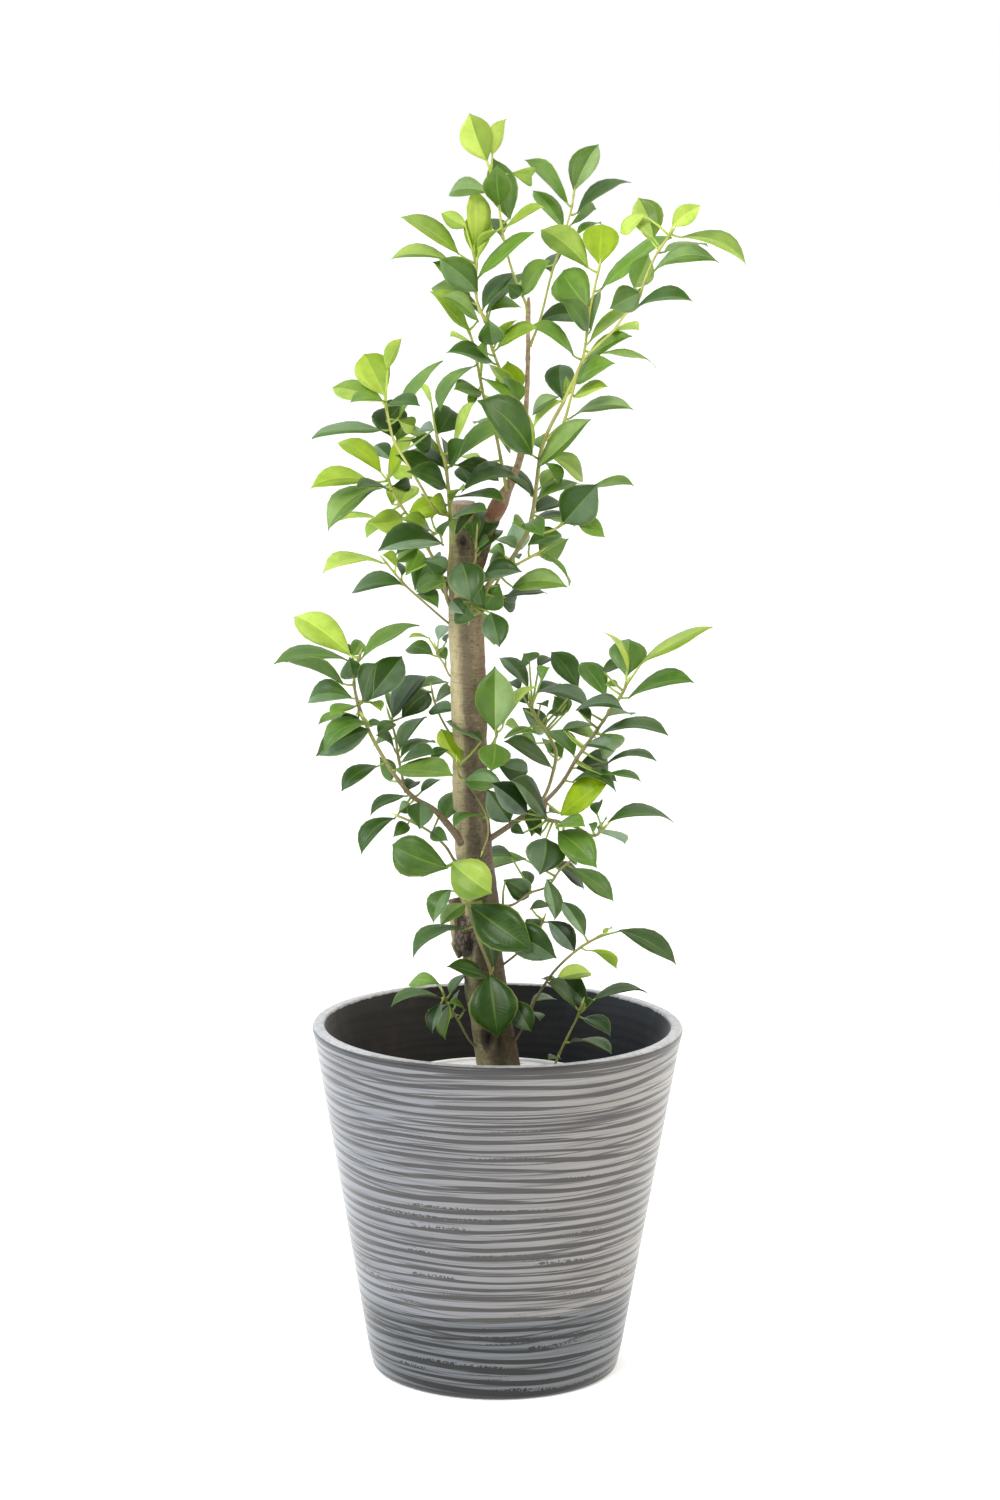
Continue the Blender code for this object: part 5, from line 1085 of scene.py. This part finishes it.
class Leaf:
    """One leaf: its place in the view, where its stalk grows from, and the small bends of its own."""

    def __init__(self, words, spot, root, draw):
        self.bx, self.by, self.tx, self.ty, self.width, self.arch, self.length = words[:7]
        self.look = words[7]
        self.spot, self.root = spot, root
        self.flat = math.hypot(self.tx - self.bx, self.ty - self.by)
        sloped = max(self.length ** 2 - self.flat ** 2, (LEAST_SLOPE * self.flat) ** 2)
        self.deep = math.copysign(math.sqrt(sloped), self.length)
        blunt, bright = draw.random(), 0.92 + 0.16 * draw.random()
        self.blunt = 0.20 + 0.70 * blunt if self.look[0] in YOUNG_LOOKS else blunt * 0.75
        self.green = [part * bright for part in GREENS[self.look[0]]]
        self.fold = draw.uniform(0.22, 0.50)
        self.curl = draw.uniform(0.05, 0.22)
        self.hook = draw.uniform(0.03, 0.10)
        self.sway = draw.uniform(-0.05, 0.05)
        self.twist = draw.uniform(-0.16, 0.16)
        self.wave, self.phase = draw.uniform(0.0, 0.06), draw.uniform(0, 6.3)
        self.move(0.0, 0.0)

    def move(self, swing, lean):
        """Swings the tip, and carries the whole leaf, so many view units toward the eye."""
        self.swing, self.lean = swing, lean
        rx, ry, rz = self.spot
        deep = self.deep + swing
        away = math.hypot(self.bx - rx, self.by - ry)
        self.base = at(self.bx, self.by, rz + deep * ease(away / self.flat, 0.06, 0.4) + lean)
        tip = at(self.tx, self.ty, rz + deep + lean)
        if (self.base - self.root).length < SHORTEST_STALK:
            self.base = self.root + (tip - self.root).normalized() * SHORTEST_STALK
        self.along = (tip - self.base).normalized()
        self.span = (tip - self.base).length
        sight = (self.base - EYE).normalized()
        level = self.along.cross(sight).normalized()
        upright = self.along.cross(level)
        self.half = max(self.width * UNIT, BLADE_RATIO * self.span) / 2
        share = ease(self.width * UNIT / (2 * self.half), 0.05, 1)
        inward = (self.root - (self.base + tip) / 2).normalized()
        best = None
        for sign in (1, -1):
            side = level * share + upright * (sign * math.sqrt(1 - share * share))
            top = side.cross(self.along)
            if (top.dot(sight) > 0) == (self.look[1] == "u"):
                top = -top
            score = top.z + 0.4 * top.dot(inward)
            if best is None or score > best:
                best, self.top = score, top
        self.points = [self.corner(*corner) for corner in corners]
        self.low = [min(point[i] for point in self.points) for i in range(3)]
        self.high = [max(point[i] for point in self.points) for i in range(3)]
        self.tree = BVHTree.FromPolygons(self.points, open_faces)

    def corner(self, across, row, under):
        """Where one corner of the pattern lies on this folded, arched and twisted blade."""
        share, wide, broad = OUTLINE[row]
        wide = (wide + (broad - wide) * self.blunt) * self.half
        out = across * wide
        rise = abs(across) * wide * (self.fold - self.curl * abs(across)) - 0.5 * wide * self.fold
        rise += abs(across) * self.wave * self.half * math.sin(self.phase + 9 * share + across)
        arched = 4 * share * (1 - share)
        rise += self.arch * UNIT * arched
        rise -= self.hook * self.span * max(0, (share - TIP_START) / (1 - TIP_START)) ** 2
        turn = self.twist * (share - 0.3)
        out, rise = out * math.cos(turn) - rise * math.sin(turn) * abs(across), rise + out * math.sin(turn)
        if under:
            rise -= BLADE_THICK + (RIB_THICK * (1 - share) if across == 0 else 0)
            if abs(across) == 1:
                rise += BLADE_THICK * 0.55
        out += self.sway * self.span * arched
        side = self.along.cross(self.top)
        return self.base + self.along * (share * self.span) + side * out + self.top * rise

    def near(self, other):
        """Whether the boxes round two blades overlap."""
        return all(self.low[i] < other.high[i] and other.low[i] < self.high[i] for i in range(3))

    def crossings(self, leaves, twigs):
        """How many faces of this blade meet other blades, and half as much for each that meets a twig."""
        total = 0
        for other in leaves:
            if other is not self and self.near(other):
                total += len(self.tree.overlap(other.tree))
        return total + 0.5 * sum(len(self.tree.overlap(twig)) for twig in twigs)


# Swings and leans that a leaf may take to clear its neighbours, and what each costs beside a stretch
SWINGS = [0, *(sign * swing for swing in (8, 16, 24, 34, 46, 60) for sign in (1, -1))]
LEANS = [0, *(sign * lean for lean in (6, 12, 18, 26) for sign in (1, -1))]
SWING_COST = 0.0006
LEAN_COST = 0.0047
STRETCH_COST = 30
SWEEPS = 3


def clear_neighbours(leaves, twigs):
    """Moves each blade that crosses another, or a twig, by the least that clears it."""
    for _ in range(SWEEPS):
        for leaf in leaves:
            least = leaf.crossings(leaves, twigs)
            if least == 0:
                continue
            natural = max(abs(leaf.length), leaf.flat)
            options = []
            for swing in SWINGS:
                stretch = max(0, math.hypot(leaf.flat, leaf.deep + swing) / natural - 1)
                cost = STRETCH_COST * stretch ** 2 + SWING_COST * swing ** 2
                options += [(cost + LEAN_COST * lean ** 2, swing, lean) for lean in LEANS]
                if swing == leaf.swing:
                    least += cost + LEAN_COST * leaf.lean ** 2
            chosen = (leaf.swing, leaf.lean)
            options.sort(key=lambda option: option[0])
            for cost, swing, lean in options:
                if cost >= least:
                    break
                leaf.move(swing, lean)
                total = cost + leaf.crossings(leaves, twigs)
                if total < least:
                    least, chosen = total, (swing, lean)
            leaf.move(*chosen)


class Spray:
    """One spray: its twigs as a mesh of wood, and its leaves."""

    def __init__(self, text, number):
        draw = random.Random(number * 101 + 7)
        self.made = bmesh.new()
        self.tone = self.made.verts.layers.float_color.new("tone")
        self.marks = self.made.verts.layers.float_vector.new("marks")
        self.leaves = []
        twigs = []
        for line in text.splitlines():
            words = line.split()
            if words and words[0] == "twig":
                values = [float(word) for word in words[1:]]
                path = [tuple(values[k:k + 3]) for k in range(2, len(values), 3)]
                twigs.append((values[0] / 1000, values[1] / 1000, path, []))
                continue
            for entry in line.split(";"):
                words = entry.split()
                if words:
                    twigs[-1][3].append((*[float(word) for word in words[:7]], words[7]))
        for thick, thin, path, leaves in twigs:
            curve = Curve([at(*p) for p in path])
            roots = rooted(path, leaves)
            self.grow_twig(thick, thin, curve, [place for _, place in roots])
            for leaf, place in roots:
                k = min(int(place), len(curve.gaps) - 1)
                spot = tuple(a + (b - a) * (place - k) for a, b in zip(path[k], path[k + 1]))
                self.leaves.append(Leaf(leaf, spot, curve.spot(place), draw))
        self.made.verts.index_update()
        faces = [[v.index for v in face.verts] for face in self.made.faces]
        self.wood = BVHTree.FromPolygons([v.co.copy() for v in self.made.verts], faces)

    def grow_twig(self, thick, thin, curve, knots):
        """A twig that tapers from its swollen foot to the pointed bud at its tip, knotted at its leaves."""
        last = len(curve.gaps)
        places = []
        for k, gap in enumerate(curve.gaps):
            count = max(2, round(gap / TWIG_STEP))
            places += [k + i / count for i in range(count)]
        places.append(last)
        limb = thick > LIMB_RADIUS
        slim = 0.74 if limb else 0.94
        radii = []
        for n in places:
            radius = thin * slim + (thick * 0.80 - thin * slim) * (1 - n / last) ** 2.4
            for knot in knots:
                apart = abs(n - knot) * sum(curve.gaps) / last
                radius += KNOT_RISE * math.exp(-(apart / 0.0015) ** 2)
            if n < 1:
                radius += thick * 0.35 * math.exp(-((n * curve.gaps[0]) / 0.004) ** 2)
            radii.append(radius)
        centres = [curve.spot(n) for n in places]
        ahead = curve.along(last) * BUD_LENGTH
        centres += [centres[-1] + ahead * s for s in (0.3, 0.7, 1.0)]
        radii += [thin * 0.85, thin * 0.50, 0.00012]
        rings = stem(self.made, centres, radii, TWIG_SIDES)
        for k, ring in enumerate(rings):
            share = k / len(rings)
            young = (share - 0.35) * 2.0 if limb else (share - 0.15) * 1.8 + (0.0019 - thick) * 500
            lime = ease((centres[k].z - 0.58) * 5.0, 0, 1) * ease(2.0 - thick * 500, 0.3, 1)
            shade = [a + (b - a) * ease(young, 0, 1) for a, b in zip(TWIG_TAN, TWIG_GREEN)]
            shade = [a + (b - a) * lime for a, b in zip(shade, TWIG_LIME)]
            if k > len(rings) - 4:
                shade = STALK_GREEN
            self.paint(ring, shade, 0.5, (0, 0, 1))
        for face in self.made.faces:
            face.material_index = 1

    def paint(self, verts, shade, side, mark):
        for vert in verts:
            vert[self.tone] = (*shade, side)
            vert[self.marks] = mark

    def grow_leaf(self, leaf):
        """Adds one blade and the stalk that runs from the twig into its midrib."""
        start = len(self.made.verts)
        self.made.from_mesh(pattern_mesh)
        self.made.verts.ensure_lookup_table()
        half = HALVES[leaf.look[2:]]
        for point, (across, row, under), vert in zip(leaf.points, corners, self.made.verts[start:]):
            vert.co = point
            self.paint([vert], leaf.green, 0.0 if under else 1.0, (across, OUTLINE[row][0], half))
        foot = leaf.root - (leaf.base - leaf.root).normalized() * STALK_SUNK
        bend = leaf.root.lerp(leaf.base, 0.5) - leaf.top * STALK_SAG
        stalk = [foot, bend, leaf.base + leaf.along * STALK_UNDER]
        radii = [STALK_RADIUS * share for share in (1.25, 1.0, 0.8)]
        shade = [(a + b) / 2 for a, b in zip(leaf.green, STALK_GREEN)]
        for ring in stem(self.made, stalk, radii, STALK_SIDES):
            self.paint(ring, shade, 0.5, (0, 0.02, 0))


sprays = {node: Spray(text, number) for number, (node, text) in enumerate(SPRAYS.items())}
all_leaves = [leaf for spray in sprays.values() for leaf in spray.leaves]
clear_neighbours(all_leaves, [spray.wood for spray in sprays.values()])

# Leaf finish: glossy above, with a pale midrib, faint side veins and a thin pale edge; duller and
# greyer below. Part of the light passes through the blade.
SIDE_VEINS = 17.0
VEIN_SLANT = 3.4
LIGHT_THROUGH = 0.30
leaf_skin, tree, shader, place = finish_of("banyan_leaf", 0.34)
tone_of = wire(tree, "ShaderNodeAttribute", attribute_name="tone")
mark_of = wire(tree, "ShaderNodeAttribute", attribute_name="marks")
half_side, share, lit_half = wire(tree, "ShaderNodeSeparateXYZ", {0: mark_of.outputs["Vector"]}).outputs
across = unsigned(half_side)
upper = tone_of.outputs["Alpha"]
mottle = cloud(75.0, 4.0, roughness=0.6)
grain = cloud(900.0, 2.0)
rib_width = times(less(1.0, share), 0.07)
rib = band(less(across, rib_width), 0.035, 0.0)
side_run = plus(less(times(share, SIDE_VEINS), times(across, VEIN_SLANT)), times(mottle, 0.5))
side_vein = band(unsigned(less(step_of(side_run, 1.0, "FRACT"), 0.5)), 0.16, 0.02)
edge = band(across, 0.905, 0.965)
green = tone_of.outputs["Color"]
deeper = blend(1.0, green, (0.66, 0.76, 0.60, 1), "MULTIPLY")
leaf_colour = blend(band(mottle, 0.32, 0.68), deeper, green)
lighter = blend(1.0, green, (0.11, 0.15, 0.02, 1), "ADD")
leaf_colour = blend(times(times(side_vein, band(mottle, 0.35, 0.6)), 0.24), leaf_colour, lighter)
leaf_colour = blend(times(rib, 0.75), leaf_colour, lighter)
rim_green = blend(0.45, lighter, (0.42, 0.50, 0.12, 1))
leaf_colour = blend(times(edge, 0.80), leaf_colour, rim_green)
back = blend(0.22, leaf_colour, (0.18, 0.26, 0.09, 1))
leaf_colour = blend(upper, back, leaf_colour)
# Painted light and shade: the half of a folded blade turned to the light is painted with a pale sheen,
# bluish on old blades and yellow on young ones, and the other half is painted duller
toward_light = times(step_of(half_side, 0.0, "SIGN"), lit_half)
youth = band(wire(tree, "ShaderNodeSeparateColor", {0: green}).outputs["Green"], 0.28, 0.50)
glow = blend(youth, (0.50, 0.66, 0.50, 1), (0.78, 0.92, 0.22, 1))
sheen = blend(0.45, leaf_colour, glow)
painted_dull_half = blend(1.0, leaf_colour, (0.52, 0.58, 0.50, 1), "MULTIPLY")
sheen_share = times(band(toward_light, 0.0, 0.4), band(mottle, 0.25, 0.75, 0.6, 1.0))
leaf_colour = blend(sheen_share, leaf_colour, sheen)
leaf_colour = blend(band(toward_light, 0.0, -0.4), leaf_colour, painted_dull_half)
link(base_color=leaf_colour)
link(roughness=plus(band(mottle, 0.3, 0.7, 0.30, 0.40), times(less(1.0, upper), 0.18)))
vein_relief = plus(plus(times(rib, 0.8), times(side_vein, 0.25)), times(grain, 0.15))
link(normal=relieved(vein_relief, 0.0005, 0.45, invert=True))
shader.inputs["Specular IOR Level"].default_value = 0.42
through = wire(tree, "ShaderNodeBsdfTranslucent", {"Color": lighter})
blade = {"Fac": LIGHT_THROUGH, 1: shader.outputs[0], 2: through.outputs[0]}
thin_blade = wire(tree, "ShaderNodeMixShader", blade)
tree.links.new(thin_blade.outputs[0], tree.nodes["Material Output"].inputs["Surface"])

# Twig finish: tan young bark, greener toward the tip, with small pale pores
twig_bark, tree, shader, place = finish_of("young_twig_bark", 0.6)
tone = wire(tree, "ShaderNodeAttribute", attribute_name="tone").outputs["Color"]
speck = cloud(380.0)
worn = cloud(60.0)
twig_dark = blend(1.0, tone, (0.80, 0.76, 0.72, 1), "MULTIPLY")
twig_colour = blend(band(worn, 0.35, 0.65), twig_dark, tone)
twig_colour = blend(times(band(speck, 0.55, 0.70), 0.5), twig_colour, (0.42, 0.36, 0.26, 1))
link(base_color=twig_colour)
link(roughness=band(speck, 0.3, 0.7, 0.5, 0.72))
link(normal=relieved(speck, 0.0005, 0.5))

for node, spray in sprays.items():
    for leaf in spray.leaves:
        spray.grow_leaf(leaf)
    bmesh.ops.recalc_face_normals(spray.made, faces=spray.made.faces)
    piece = keep(spray.made, node + "_leaves", leaf_skin)
    piece.data.materials.append(twig_bark)
    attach(piece, "root")
    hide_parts(node)
